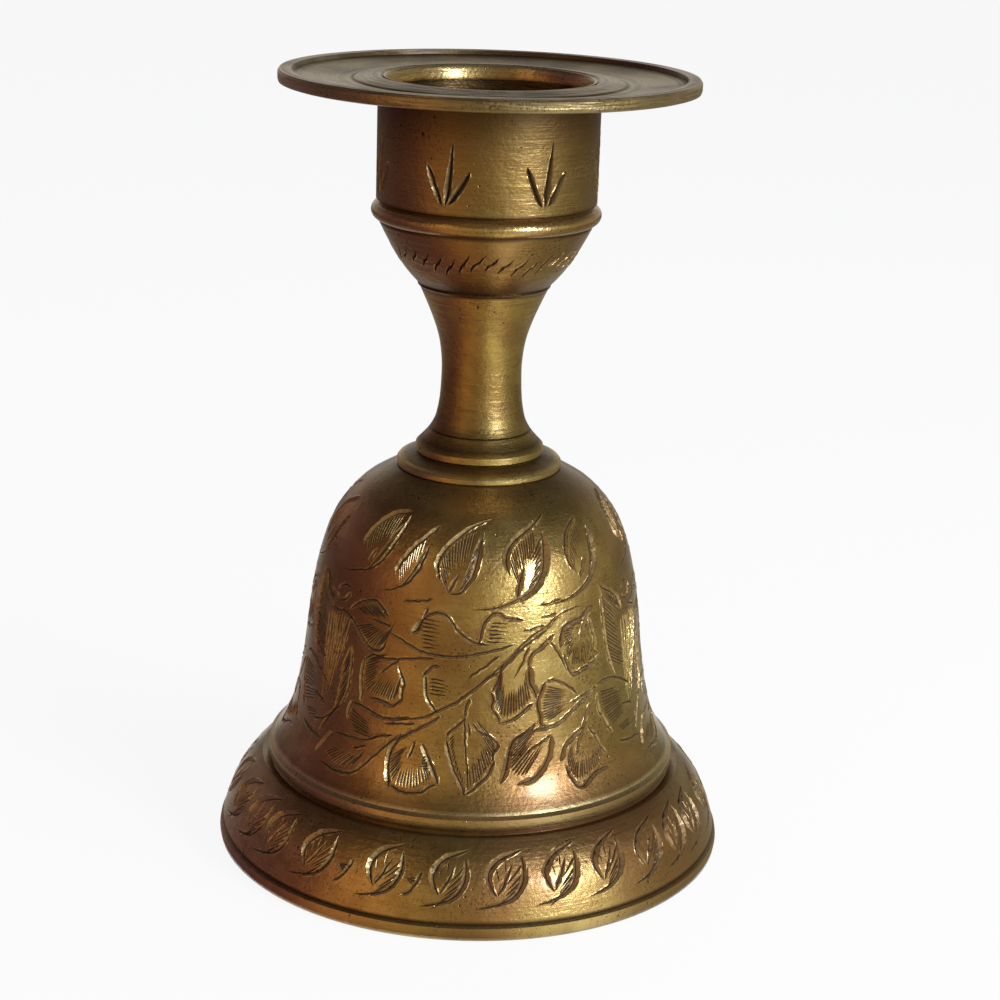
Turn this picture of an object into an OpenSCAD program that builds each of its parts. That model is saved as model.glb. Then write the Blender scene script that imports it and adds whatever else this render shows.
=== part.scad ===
// Bell-shaped candlestick of turned and engraved brass.
// All sizes in millimetres. +Z is up, and the lip of the bell stands on z = 0.
// Five turned pieces are stacked on one tie stud. A clapper hangs from its lower end.

/* [Heights] */
// Top of the crown of the bell, where the collar sits
crown_z = 45.9; // [45.9:0.1:46.3]
// Joint between the collar and the foot of the stem
foot_z = 47.6; // [47.4:0.1:47.7]
// Joint between the stem and the candle cup
joint_z = 67.3; // [67.2:0.1:67.5]
// Underside of the drip pan at the cup
pan_z = 89.0; // [88.6:0.1:89.1]

/* [Bell] */
// Radius of the lip at its widest
lip_r = 30.0; // [29.8:0.1:30.4]
// Radius of the turned ring above the lip
ring_r = 24.1; // [24.0:0.1:24.4]
// Depth of the groove turned above the foot of the lip
lip_groove_d = 0.4; // [0.2:0.1:0.6]

/* [Candle cup] */
// Radius of the candle socket, for a 22 mm candle
socket_r = 11.2; // [11.1:0.05:11.3]
// Height of the floor of the socket
socket_floor_z = 73.5; // [73:0.5:76]
// Outer radius of the cup
cup_r = 12.4; // [12.4:0.05:12.6]
// Outer radius of the bead round the cup
bead_r = 12.95; // [12.8:0.05:13.2]
// Number of engraved arrow marks round the cup
mark_count = 7; // [5:1:9]
// Height of the longest cut of an arrow mark
mark_h = 6.0; // [4:0.1:7]
// Depth of the arrow marks
mark_d = 0.35; // [0.2:0.05:0.45]

/* [Drip pan] */
// Radius of the drip pan
pan_r = 23.4; // [22.5:0.1:24.5]
// Width of the raised flat rim
rim_w = 1.6; // [1.2:0.1:2]
// Height of the edge of the pan
edge_h = 1.5; // [1.4:0.1:1.7]
// Outer radius of the low ring round the hole
hub_r = 15.3; // [14.5:0.1:16]

/* [Tie stud] */
// Radius of the stud
stud_r = 2.5; // [2.3:0.05:2.6]
// Radial room round the stud in the pieces that it passes through
stud_gap = 0.2; // [0.15:0.05:0.3]
// Width across the flats of the nut
nut_af = 8.0; // [7.5:0.5:9]
// Height of the nut
nut_h = 4.0; // [3.5:0.1:4]
// Thickness of the washer
washer_t = 1.0; // [0.8:0.1:1]

/* [Clapper] */
// Height of the hole from which the link hangs
eye_z = 35.0; // [34.8:0.1:35.1]
// Radius of the wire of the link
wire_r = 0.6; // [0.5:0.05:0.65]
// Radius of each loop of the link, to the middle of the wire
loop_r = 1.9; // [1.9:0.05:2.1]
// Length of the knuckle that joins the two loops
knuckle_h = 1.3; // [1.3:0.1:1.6]
// Radius of the ball of the clapper
ball_r = 5.0; // [4:0.1:5.2]
// Height of the middle of the ball
ball_z = 12.5; // [12:0.1:14]

/* [Hidden] */

$fn = 96;
overlap = 0.2;
bore_r = stud_r + stud_gap;
ceiling_z = crown_z - 2.1;
washer_z = ceiling_z - washer_t;
nut_z = washer_z - nut_h;
rivet_r = 11.75;
pan_hole_r = rivet_r + 0.05;
pan_edge_z = pan_z + 0.4;
rim_z = pan_edge_z + edge_h;
bead_z = 75.45;
tongue_t = 1.4;
tongue_end_r = 1.8;
eye_r = 1.0;
knuckle_z = eye_z - 2 * loop_r - knuckle_h;
clapper_eye_z = knuckle_z - 2 * loop_r;
mark_foot_z = 77.9;

// Warm old brass, and the browner tarnish of the pan
brass = [0.56, 0.42, 0.18];
tarnish = [0.46, 0.38, 0.26];
steel = [0.55, 0.54, 0.52];

// One point of a smooth curve from b to c, with a and d as the neighbours
function between(a, b, c, d, t) =
    0.5 * (2 * b + (c - a) * t + (2 * a - 5 * b + 4 * c - d) * t * t
           + (3 * b - a - 3 * c + d) * t * t * t);

// A smooth curve through hand-set points, n steps from each point to the next
function smooth(p, n) = concat(
    [for (i = [0 : len(p) - 2], k = [0 : n - 1])
        between(p[max(i - 1, 0)], p[i], p[i + 1], p[min(i + 2, len(p) - 1)], k / n)],
    [p[len(p) - 1]]);

// An arc about [x, z], from angle a0 to a1 in n steps
function arc(x, z, r, a0, a1, n) =
    [for (k = [0 : n]) let (a = a0 + (a1 - a0) * k / n) [x + r * cos(a), z + r * sin(a)]];

// Convex shoulder of the lip, from the groove at its foot up to the turned ring
lip_curve = [[29.6, 2.4], [29.1, 4], [28.3, 6], [27, 8], [25.9, 9.2], [24.9, 10.1]];

// Flare, waist and dome, from the turned ring up to the collar
bell_curve = [[23.6, 12.1], [22.4, 14], [21.5, 16], [20.95, 18], [20.5, 20.2], [19.9, 24],
              [19.45, 28], [18.9, 32], [18, 36], [16.95, 39], [15.8, 41], [14.1, 43],
              [12.6, 44.2], [9.6, crown_z]];

// Inside of the bell, from the mouth up to the ceiling
mouth_curve = [[27.4, 0], [27.2, 1.6], [26.5, 4.6], [25.1, 7.1], [23, 9.2], [21.3, 11.5],
               [20.1, 14], [19.2, 17], [18.5, 21], [17.9, 26], [17.3, 31], [16.3, 35.5],
               [14.6, 39], [12.2, 41.7], [8.5, 43.4], [6, ceiling_z]];

// Waisted side of the stem, from the bead at its foot up to the joint
stem_curve = [[6.85, 49], [6, 50], [5.4, 51], [5.05, 52], [4.72, 54], [4.58, 57],
              [4.68, 59], [5, 61], [5.63, 63], [6.45, 65], [7.3, joint_z - 0.4]];

// Bowl of the cup, from the joint up to the neck under the bead
bowl_curve = [[7.75, joint_z + 0.3], [9, 69], [10.35, 71], [11.45, 73], [12, 74.1]];

// Dished floor of the pan, from the rim in to the ring round the hole
floor_curve = [[pan_r - rim_w - 0.5, rim_z - 0.55], [19, rim_z - 0.85],
               [17, rim_z - 0.98], [hub_r, rim_z - 1]];

// A V-shaped groove turned into a surface at radius r and height z
module turned_groove(r, z, depth, width) {
    rotate_extrude()
        polygon([[r - depth, z], [r + 0.3, z - width], [r + 0.3, z + width]]);
}

// Edge of a graver's wheel: cuts a slash with pointed ends, length l and depth d,
// into a wall that lies against the XZ plane, leaning by a degrees
module slash(l, d, a) {
    wheel_r = (l * l / 4 + d * d) / (2 * d);
    rotate([0, a, 0])
        translate([0, d - wheel_r, 0])
            rotate([0, 90, 0])
                rotate_extrude()
                    polygon([[wheel_r - 3 * d, -3 * d], [wheel_r, 0], [wheel_r - 3 * d, 3 * d]]);
}

// Arrow mark on the cup: a long cut between two short ones that lean away from it
module arrow_mark() {
    long_lean = 7;
    short_lean = 32;
    short_turn = 6;
    translate([0, -cup_r, mark_h / 2])
        slash(mark_h, mark_d, long_lean);
    for (side = [-1, 1])
        rotate([0, 0, side * short_turn])
            translate([0, -cup_r, mark_h * 0.29])
                slash(mark_h * 0.62, mark_d * 0.85, side * short_lean);
}

// Cast bell: lip, turned ring, waist and dome, hollow from below
module bell() {
    color(brass)
        rotate_extrude()
            polygon(concat(
                [[27.6, 0], [lip_r - 0.4, 0], [lip_r - 0.1, 0.3], [lip_r, 1.0], [lip_r - 0.1, 1.6],
                 [lip_r - 0.1 - lip_groove_d, 1.9]],
                smooth(lip_curve, 4),
                [[ring_r - 0.2, 9.95], [ring_r - 0.6, 10.3], [ring_r - 0.1, 10.6],
                 [ring_r + 0.05, 10.75], [ring_r, 11.8]],
                smooth(bell_curve, 4),
                [[bore_r, crown_z], [bore_r, ceiling_z]],
                [for (i = [len(mouth_curve) - 1 : -1 : 1])
                    each [mouth_curve[i],
                          between(mouth_curve[min(i + 1, len(mouth_curve) - 1)], mouth_curve[i],
                                  mouth_curve[i - 1], mouth_curve[max(i - 2, 0)], 0.5)]]));
}

// Low turned ring with a bright edge, between the bell and the stem
module collar() {
    color(brass)
        rotate_extrude()
            polygon([[bore_r, crown_z], [9.35, crown_z], [9.5, crown_z + 0.2], [9.5, crown_z + 0.7],
                     [9.3, crown_z + 0.95], [7.4, foot_z - 0.1], [7.0, foot_z], [bore_r, foot_z]]);
}

// Waisted stem with a bead at its foot and a scribed line above it
module stem() {
    color(brass)
        difference() {
            rotate_extrude()
                polygon(concat(
                    [[bore_r, foot_z], [7.15, foot_z], [7.4, foot_z + 0.2], [7.35, 48.5], [7.1, 48.75]],
                    smooth(stem_curve, 5),
                    [[7.55, joint_z - 0.15], [7.4, joint_z], [bore_r, joint_z]]));
            turned_groove(5.75, 50.35, 0.12, 0.22);
        }
}

// Candle cup: bowl, bead and socket, with its top edge spun over the pan
module candle_cup() {
    color(brass)
        difference() {
            rotate_extrude()
                polygon(concat(
                    [[0, joint_z], [7.4, joint_z]],
                    smooth(bowl_curve, 5),
                    [[12.05, bead_z - 1]],
                    arc(bead_r - 0.95, bead_z, 0.95, -75, 75, 10),
                    [[12.05, bead_z + 1.05], [cup_r, bead_z + 1.35], [cup_r, pan_z],
                     [rivet_r, pan_z], [rivet_r, rim_z - 0.75], [rivet_r + 0.12, rim_z - 0.65],
                     [rivet_r - 0.1, rim_z - 0.6], [socket_r + 0.15, rim_z - 0.62],
                     [socket_r, rim_z - 0.8], [socket_r, socket_floor_z], [0, socket_floor_z]]));
            translate([0, 0, joint_z - 1])
                cylinder(r = stud_r - 0.05, h = 5.5);
            for (i = [0 : mark_count - 1])
                rotate([0, 0, -21.5 + i * 360 / mark_count])
                    translate([0, 0, mark_foot_z])
                        arrow_mark();
        }
}

// Thin drip pan: flat rim, dished floor and a low ring round the hole
module drip_pan() {
    color(tarnish)
        rotate_extrude()
            polygon(concat(
                [[pan_hole_r, pan_z], [13.5, pan_z], [pan_r - 0.6, pan_edge_z - 0.05],
                 [pan_r - 0.1, pan_edge_z + 0.1], [pan_r, pan_edge_z + 0.4],
                 [pan_r, rim_z - 0.35], [pan_r - 0.2, rim_z - 0.05], [pan_r - 0.8, rim_z],
                 [pan_r - rim_w, rim_z - 0.05], [pan_r - rim_w - 0.12, rim_z - 0.5]],
                smooth(floor_curve, 4),
                [[hub_r - 0.35, rim_z - 0.85], [12.9, rim_z - 0.55], [12.35, rim_z - 0.55],
                 [12.05, rim_z - 0.75], [pan_hole_r, rim_z - 0.78]]));
}

// Flat tongue with a round end, drilled through along Y. Its body runs up from the end
module tongue(h) {
    difference() {
        union() {
            rotate([90, 0, 0])
                cylinder(r = tongue_end_r, h = tongue_t, center = true);
            translate([-tongue_end_r, -tongue_t / 2, 0])
                cube([2 * tongue_end_r, tongue_t, h]);
        }
        rotate([90, 0, 0])
            cylinder(r = eye_r, h = tongue_t + 1, center = true);
    }
}

// Stud that ties the stack together, with a drilled tongue for the clapper
module tie_stud() {
    tongue_h = nut_z - eye_z - 1;
    color(steel) {
        translate([0, 0, nut_z - 1])
            cylinder(r = stud_r, h = joint_z + 4.2 - nut_z + 1);
        translate([0, 0, eye_z])
            tongue(tongue_h + overlap);
    }
}

// Flat washer under the crown, inside the bell
module washer() {
    color(steel)
        translate([0, 0, washer_z])
            difference() {
                cylinder(r = 5.3, h = washer_t);
                translate([0, 0, -1])
                    cylinder(r = bore_r, h = washer_t + 2);
            }
}

// Hexagonal nut that clamps the stack
module nut() {
    color(steel)
        translate([0, 0, nut_z])
            difference() {
                cylinder(r = nut_af / 2 / cos(30), h = nut_h, $fn = 6);
                translate([0, 0, -1])
                    cylinder(r = stud_r - 0.05, h = nut_h + 2);
            }
}

// One loop of wire in the XY plane, in two halves
module wire_loop() {
    for (turn = [0, 180])
        rotate([0, 0, turn])
            rotate_extrude(angle = 180)
                translate([loop_r, 0])
                    circle(r = wire_r, $fn = 24);
}

// Wire link: two loops at right angles, joined by a knuckle
module clapper_link() {
    color(steel)
        union() {
            translate([0, 0, eye_z - loop_r])
                rotate([0, 90, 0])
                    wire_loop();
            translate([0, 0, knuckle_z])
                cylinder(r = wire_r + 0.2, h = knuckle_h, $fn = 24);
            translate([0, 0, knuckle_z - loop_r])
                rotate([90, 0, 0])
                    wire_loop();
        }
}

// Cast clapper: drilled top, tapered shank and ball
module clapper() {
    shank_top = clapper_eye_z - 2.6;
    color(brass)
        union() {
            translate([0, 0, clapper_eye_z])
                rotate([0, 180, 90])
                    tongue(2.6 + overlap);
            translate([0, 0, ball_z])
                cylinder(r1 = 1.6, r2 = 1.9, h = shank_top - ball_z);
            translate([0, 0, ball_z])
                sphere(r = ball_r);
        }
}

bell();
collar();
stem();
candle_cup();
drip_pan();
tie_stud();
washer();
nut();
clapper_link();
clapper();
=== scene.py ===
"""Looks of an old bell-shaped candlestick of turned and engraved brass.

The bell and the candle cup are rebuilt here with their engraving, sector by sector, and the
other pieces keep their solids and get their finish. Sizes are millimetres, as on a maker's
drawing, until a mesh is made from them. Angles go round the axis from the side that faces the
camera, and grow to the right. The lines of the engraving are pairs of an angle in degrees and a
height above the table. JOIN_MM is how close two points are that become one, WAIST_DEGREE is the
length of one degree round the waist of the bell, and CHUNK is how many points are measured at once.
TINY keeps sums from dividing by zero, and corners within ON_AXIS, in metres, are on the axis.
"""

import logging
import math
import random
from dataclasses import dataclass, field
from enum import Enum
from typing import Any, Sequence

import bpy
import numpy as np
from mathutils import Matrix, Vector
from mathutils.geometry import delaunay_2d_cdt

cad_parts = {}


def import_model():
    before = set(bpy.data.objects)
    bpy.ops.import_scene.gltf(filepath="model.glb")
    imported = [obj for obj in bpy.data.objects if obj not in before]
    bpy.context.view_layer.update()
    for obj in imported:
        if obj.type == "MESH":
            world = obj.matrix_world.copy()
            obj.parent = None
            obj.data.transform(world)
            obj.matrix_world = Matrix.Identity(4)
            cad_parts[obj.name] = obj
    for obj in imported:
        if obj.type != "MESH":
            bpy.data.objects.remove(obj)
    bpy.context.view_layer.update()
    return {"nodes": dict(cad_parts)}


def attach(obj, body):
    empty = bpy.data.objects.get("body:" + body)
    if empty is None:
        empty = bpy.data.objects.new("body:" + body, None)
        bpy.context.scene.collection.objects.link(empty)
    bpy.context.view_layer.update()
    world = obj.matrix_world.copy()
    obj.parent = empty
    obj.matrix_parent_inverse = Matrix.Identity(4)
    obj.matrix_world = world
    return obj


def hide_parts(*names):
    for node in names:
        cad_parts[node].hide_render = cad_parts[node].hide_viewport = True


Point = tuple[float, float]
Line = tuple[Point, ...]
Colour = tuple[float, float, float]

LOG = logging.getLogger("candlestick")
MM = 0.001
JOIN_MM = 0.0008
WAIST_DEGREE = 0.36
CHUNK = 400
TINY = 1e-9
ON_AXIS = 1e-7
WHITE: Colour = (1.0, 1.0, 1.0)


def between(a: np.ndarray, b: np.ndarray, c: np.ndarray, d: np.ndarray, t: float) -> np.ndarray:
    """Finds one point of a smooth curve.

    Args:
        a: The point before the stretch.
        b: The start of the stretch.
        c: The end of the stretch.
        d: The point after the stretch.
        t: The share of the stretch, from 0 to 1.

    Returns:
        The point at that share.
    """
    return 0.5 * (2 * b + (c - a) * t + (2 * a - 5 * b + 4 * c - d) * t**2 + (3 * b - a - 3 * c + d) * t**3)


def smooth(points: Sequence[Point], steps: int) -> np.ndarray:
    """Runs a smooth curve through given points.

    Args:
        points: The points, at least two.
        steps: How many steps lead from each point to the next.

    Returns:
        The curve as rows of two numbers.
    """
    p = np.array(points, float)
    last = len(p) - 1
    rows = [
        between(p[max(i - 1, 0)], p[i], p[i + 1], p[min(i + 2, last)], k / steps)
        for i in range(last)
        for k in range(steps)
    ]
    return np.array(rows + [p[last]])


def arc(x: float, z: float, radius: float, start: float, end: float, steps: int) -> list[Point]:
    """Draws a round stretch of an outline.

    Args:
        x: Distance of the centre from the axis.
        z: Height of the centre.
        radius: Radius of the stretch.
        start: First angle in degrees.
        end: Last angle in degrees.
        steps: Number of steps.

    Returns:
        The points of the stretch.
    """
    angles = np.radians(np.linspace(start, end, steps + 1))
    return [(x + radius * math.cos(a), z + radius * math.sin(a)) for a in angles]


@dataclass(frozen=True)
class Cut:
    """One stroke of the graver: its line, how wide it opens, and how soon it opens and closes."""

    line: Line
    width: float = 0.5
    lead: float = 0.12
    tail: float = 0.12
    burr: float = 0.035


@dataclass
class Graver:
    """Collects the cuts of one band of engraving.

    The strokes of a fan stray from their places, and differ in length, bow and width, as those of
    a hand do. They open and close over fan_lead and fan_tail of their length.
    """

    seed: int
    cuts: list[Cut] = field(default_factory=list)
    straying: float = 0.12
    shortest: float = 0.88
    longest: float = 1.2
    bow: float = 0.03
    uneven: float = 0.15
    fan_lead: float = 0.08
    fan_tail: float = 0.4
    fan_steps: int = 6
    nearest: float = 0.01

    def __post_init__(self) -> None:
        """Seeds the small unevenness of the hand."""
        self.hand = random.Random(self.seed)

    def cut(self, *line: Point, width: float = 0.5, lead: float = 0.12, tail: float = 0.12) -> None:
        """Adds one stroke.

        Args:
            line: The points that the stroke follows.
            width: Its width where it is widest.
            lead: The share of its length over which it opens.
            tail: The share of its length over which it closes.
        """
        self.cuts.append(Cut(tuple(line), width, lead, tail))

    def fan(
        self, edge: Line, toward: Point, length: float, gap: float = 0.4, width: float = 0.28
    ) -> None:
        """Adds short strokes that start on an edge and run towards one point.

        Args:
            edge: The edge on which the strokes start.
            toward: The point that they run towards.
            length: Their usual length.
            gap: How far apart they start.
            width: Their width near the edge.
        """
        curve = smooth(edge, self.fan_steps)
        steps = np.hypot(np.diff(curve[:, 0]) * WAIST_DEGREE, np.diff(curve[:, 1]))
        along = np.concatenate([[0], np.cumsum(steps)])
        count = max(round(along[-1] / gap), 2)
        for i in range(count):
            place = along[-1] * (i + 0.5 + self.hand.uniform(-self.straying, self.straying)) / count
            x, z = np.interp(place, along, curve[:, 0]), np.interp(place, along, curve[:, 1])
            dx, dz = (toward[0] - x) * WAIST_DEGREE, toward[1] - z
            wanted = length * self.hand.uniform(self.shortest, self.longest)
            reach = min(1.0, wanted / max(math.hypot(dx, dz), self.nearest))
            start, end = (x, z), (x + reach * dx / WAIST_DEGREE, z + reach * dz)
            bend = self.hand.uniform(-self.bow, self.bow)
            mid = ((x + end[0]) / 2 + bend / WAIST_DEGREE, (z + end[1]) / 2 + bend)
            wide = width * self.hand.uniform(1 - self.uneven, 1 + self.uneven)
            self.cuts.append(Cut((start, mid, end), wide, self.fan_lead, self.fan_tail, burr=0.0))


@dataclass
class Outline:
    """A stretch of a turned outline that is shaded as one smooth curve, with its normals."""

    points: np.ndarray

    def __post_init__(self) -> None:
        """Measures along the stretch and finds its outward normals."""
        self.points = np.array(self.points, float)
        steps = np.diff(self.points, axis=0)
        lengths = np.hypot(steps[:, 0], steps[:, 1])
        self.along = np.concatenate([[0.0], np.cumsum(lengths)])
        outward = np.stack([steps[:, 1], -steps[:, 0]], 1) / lengths[:, None]
        mixed = np.concatenate([outward[:1], outward[:-1] + outward[1:], outward[-1:]])
        self.normals = mixed / np.linalg.norm(mixed, axis=1, keepdims=True)

    def at_height(self, z: float) -> float:
        """Gives the length along a rising stretch at which it reaches the height z."""
        return float(np.interp(z, self.points[:, 1], self.along))

    def at(self, s: np.ndarray) -> tuple[np.ndarray, np.ndarray]:
        """Finds points and normals along the stretch.

        Args:
            s: Lengths along the stretch.

        Returns:
            The points and the unit normals, each as rows of two numbers.
        """
        place = np.stack([np.interp(s, self.along, self.points[:, k]) for k in (0, 1)], 1)
        normal = np.stack([np.interp(s, self.along, self.normals[:, k]) for k in (0, 1)], 1)
        return place, normal / np.linalg.norm(normal, axis=1, keepdims=True)


@dataclass
class Sector:
    """The mesh of one sector of a turned piece, before it is repeated round the axis.

    The normal of a plain corner is kept as its outward and upward parts, and is zero on the
    walls of a cut, which are flat.
    """

    span: float
    start: float
    column: float = 2.5
    fade: float = 0.15
    level: float = 1e-5
    places: list[np.ndarray] = field(default_factory=list)
    faces: list[tuple[int, ...]] = field(default_factory=list)
    corners: list[tuple[float, float, float]] = field(default_factory=list)
    depths: list[np.ndarray] = field(default_factory=list)
    lines: list[np.ndarray] = field(default_factory=list)
    count: int = 0

    def columns(self) -> np.ndarray:
        """Gives the angles of the edges between the columns of faces."""
        return np.linspace(self.start, self.start + self.span, round(self.span / self.column) + 1)

    def put(
        self, angle: np.ndarray, r: np.ndarray, z: np.ndarray, depth: np.ndarray, line: np.ndarray
    ) -> int:
        """Adds points.

        Args:
            angle: Their angles in degrees.
            r: Their distances from the axis.
            z: Their heights.
            depth: How far each lies above the plain surface.
            line: How far each lies from the bottom line of a cut.

        Returns:
            The number of the first one.
        """
        a = np.radians(angle)
        self.places.append(np.stack([r * np.sin(a), -r * np.cos(a), z], 1) * MM)
        self.depths.append(depth)
        self.lines.append(line)
        first, self.count = self.count, self.count + len(a)
        return first

    def plain(self, outline: Outline) -> None:
        """Adds a plain turned stretch.

        Args:
            outline: The stretch.
        """
        angles = self.columns()
        rows, wide = len(outline.points), len(angles)
        r, z = (np.repeat(outline.points[:, k], wide) for k in (0, 1))
        first = self.put(np.tile(angles, rows), r, z, np.zeros(rows * wide), np.ones(rows * wide))
        for i in range(rows - 1):
            low, high = ((float(n[0]), 0.0, float(n[1])) for n in outline.normals[i : i + 2])
            for j in range(wide - 1):
                a, b = first + i * wide + j, first + (i + 1) * wide + j
                self.faces.append((a, a + 1, b + 1, b))
                self.corners.extend((low, low, high, high))

    def corner_run(self, *points: Point) -> None:
        """Adds a run of flat or conical stretches with a sharp corner between each two."""
        for a, b in zip(points, points[1:]):
            self.plain(Outline(np.array([a, b])))

    def engraved(self, outline: Outline, cuts: Sequence[Cut], row: float) -> None:
        """Adds a turned stretch with cuts in it. Cuts that leave one side come in at the other.

        Args:
            outline: The stretch, which rises.
            cuts: The cuts, in any place within one turn of the sector.
            row: Usual height of a plain face.
        """
        scale = math.radians(float(outline.points[:, 0].mean()))
        plan = CutPlan(outline, scale, self.start, self.start + self.span)
        for one in cuts:
            for turn in (-self.span, 0.0, self.span):
                plan.add(one, turn)
        angles, rows = self.columns(), max(round(outline.along[-1] / row), 2)
        x, y = angles * scale, np.linspace(0, outline.along[-1], rows + 1)
        plan.frame(x, y)
        spots, triangles = plan.solve(x[0], x[-1], y[-1])
        height, line = plan.height(spots)
        height *= np.clip(np.minimum(spots[:, 1], y[-1] - spots[:, 1]) / self.fade, 0, 1)
        place, normal = outline.at(spots[:, 1])
        lifted = place + normal * height[:, None]
        first = self.put(spots[:, 0] / scale, lifted[:, 0], lifted[:, 1], height, line)
        flat = np.abs(height) < self.level
        for t in triangles:
            self.faces.append(tuple(first + k for k in t))
            if all(flat[k] for k in t):
                self.corners.extend((float(normal[k, 0]), 0.0, float(normal[k, 1])) for k in t)
            else:
                self.corners.extend([(0.0, 0.0, 0.0)] * 3)

    def mesh(self, name: str) -> bpy.types.Mesh:
        """Makes the mesh of the sector.

        Args:
            name: The name of the mesh.

        Returns:
            The mesh, with the parts of its normals and two measures of its cuts as attributes.
        """
        made = bpy.data.meshes.new(name)
        made.from_pydata(np.concatenate(self.places).tolist(), [], self.faces)
        kept = made.attributes.new("turned_normal", "FLOAT_VECTOR", "CORNER")
        kept.data.foreach_set("vector", np.array(self.corners, np.float32).ravel())
        for measure, values in (("cut_depth", self.depths), ("cut_line", self.lines)):
            kept = made.attributes.new(measure, "FLOAT", "POINT")
            kept.data.foreach_set("value", np.concatenate(values).astype(np.float32))
        return made


@dataclass
class CutPlan:
    """The flat plan of an engraved stretch: angle to the right, length along the outline upward.

    A cut is a groove with sloping walls. A cut with a burr has a raised edge on each side, which is
    full beside cuts at least twice full_half wide. Narrow cuts tremble a little, and the dark line
    at the bottom is as strong as full_line allows. Spots lower than shallow are in a cut, points
    nearer than merge become one, and guard is for pieces of a cut that have no length.
    """

    outline: Outline
    scale: float
    left: float
    right: float
    points: list[Vector] = field(default_factory=list)
    edges: list[tuple[int, int]] = field(default_factory=list)
    pieces: list[np.ndarray] = field(default_factory=list)

    margin: float = 4.0
    slope: float = 0.95
    rounding: float = 0.75
    full_half: float = 0.15
    bare_margin: float = 0.3
    burr_width: float = 0.12
    step: float = 0.42
    wobble: float = 0.16
    full_line: float = 0.11
    tremor: float = 0.06
    steady: float = 0.7
    broad: float = 0.3
    curve_steps: int = 8
    far: float = 9.0
    shallow: float = 1e-4
    merge: float = 1e-5
    guard: float = 1e-12

    def add(self, cut: Cut, turn: float) -> None:
        """Adds one cut to the plan.

        Args:
            cut: The cut.
            turn: How far round it is moved, in degrees.
        """
        angle = [p[0] + turn for p in cut.line]
        if min(angle) > self.right + self.margin or max(angle) < self.left - self.margin:
            return
        s = [self.outline.at_height(p[1]) for p in cut.line]
        flat = [(a * self.scale, t) for a, t in zip(angle, s)]
        curve = smooth(flat, self.curve_steps) if len(flat) > 2 else np.array(flat)
        ratio = math.radians(float(self.outline.at(np.array([np.mean(s)]))[0][0, 0])) / self.scale
        true = curve * np.array([ratio, 1.0])
        lengths = np.concatenate([[0.0], np.cumsum(np.hypot(*np.diff(true, axis=0).T))])
        fewest = 4 if cut.width > self.broad else 3
        stops = np.linspace(0, lengths[-1], max(int(lengths[-1] / self.step), fewest) + 1)
        middle = np.stack([np.interp(stops, lengths, true[:, k]) for k in (0, 1)], 1)
        along = np.gradient(middle, axis=0)
        along /= np.maximum(np.linalg.norm(along, axis=1, keepdims=True), TINY)
        across = np.stack([-along[:, 1], along[:, 0]], 1)
        hand = np.random.default_rng(len(self.pieces))
        if cut.burr > 0 and cut.width < self.steady:
            stray = hand.uniform(-self.tremor, self.tremor, (len(middle) - 2, 1))
            middle[1:-1] += across[1:-1] * stray
        share = stops / stops[-1]
        opening = np.minimum(share / cut.lead, (1 - share) / cut.tail).clip(0, 1)
        half = cut.width / 2 * opening**self.rounding
        back = np.array([1 / ratio, 1.0])
        sides = [side * half for side in (1, -1)]
        burr = np.zeros(len(half))
        if cut.burr > 0:
            rim = half + self.burr_width * np.minimum(1, half / self.full_half)
            sides = [side * half * (1 + self.wobble * hand.uniform(-1, 1, len(half))) for side in (1, -1)]
            sides += [rim, -rim]
            burr = cut.burr * hand.uniform(0.0, 2.0, len(half))
        self.thread(middle * back)
        for side in sides:
            self.thread((middle + across * side[:, None]) * back)
        rows = np.column_stack([middle * back, half, burr])
        self.pieces.append(np.column_stack([rows[:-1], rows[1:]]))

    def thread(self, line: np.ndarray) -> None:
        """Adds a line of points, joined by edges that faces may not cross.

        Args:
            line: The points, in order.
        """
        first = len(self.points)
        self.points.extend(Vector((float(p[0]), float(p[1]))) for p in line)
        self.edges.extend((first + i, first + i + 1) for i in range(len(line) - 1))

    def frame(self, x: np.ndarray, y: np.ndarray) -> None:
        """Adds the border of the plan and the plain points inside it.

        Args:
            x: The columns.
            y: The rows.
        """
        for fixed in (y[0], y[-1]):
            self.thread(np.column_stack([x, np.full(len(x), fixed)]))
        for fixed in (x[0], x[-1]):
            self.thread(np.column_stack([np.full(len(y), fixed), y]))
        inner = np.array([(a, b) for a in x[1:-1] for b in y[1:-1]])
        clear = self.clearance(inner) > self.bare_margin
        self.points.extend(Vector((float(p[0]), float(p[1]))) for p in inner[clear])

    def parted(self, spots: np.ndarray) -> tuple[np.ndarray, np.ndarray, np.ndarray]:
        """Measures every spot against every piece of every cut.

        Args:
            spots: Points of the plan.

        Returns:
            Distances, half widths at the nearest places, and heights of the burrs.
        """
        p = np.concatenate(self.pieces)
        ratio = (np.radians(self.outline.at(spots[:, 1])[0][:, 0]) / self.scale)[:, None]
        ax, ay = p[:, 0] * ratio, np.broadcast_to(p[:, 1], (len(spots), len(p)))
        dx, dy = (p[:, 4] - p[:, 0]) * ratio, p[:, 5] - p[:, 1]
        px, py = spots[:, :1] * ratio - ax, spots[:, 1:] - ay
        t = np.clip((px * dx + py * dy) / (dx * dx + dy * dy + self.guard), 0, 1)
        distance = np.hypot(px - t * dx, py - t * dy)
        return distance, p[:, 2] + t * (p[:, 6] - p[:, 2]), p[:, 3] + t * (p[:, 7] - p[:, 3])

    def clearance(self, spots: np.ndarray) -> np.ndarray:
        """Gives the distance of each spot from the nearest edge of a cut.

        Args:
            spots: Points of the plan.

        Returns:
            The distances, below zero inside a cut.
        """
        if not self.pieces:
            return np.full(len(spots), self.far)
        parts = [self.parted(chunk) for chunk in np.array_split(spots, len(spots) // CHUNK + 1)]
        return np.concatenate([(d - h).min(axis=1) for d, h, _ in parts])

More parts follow.
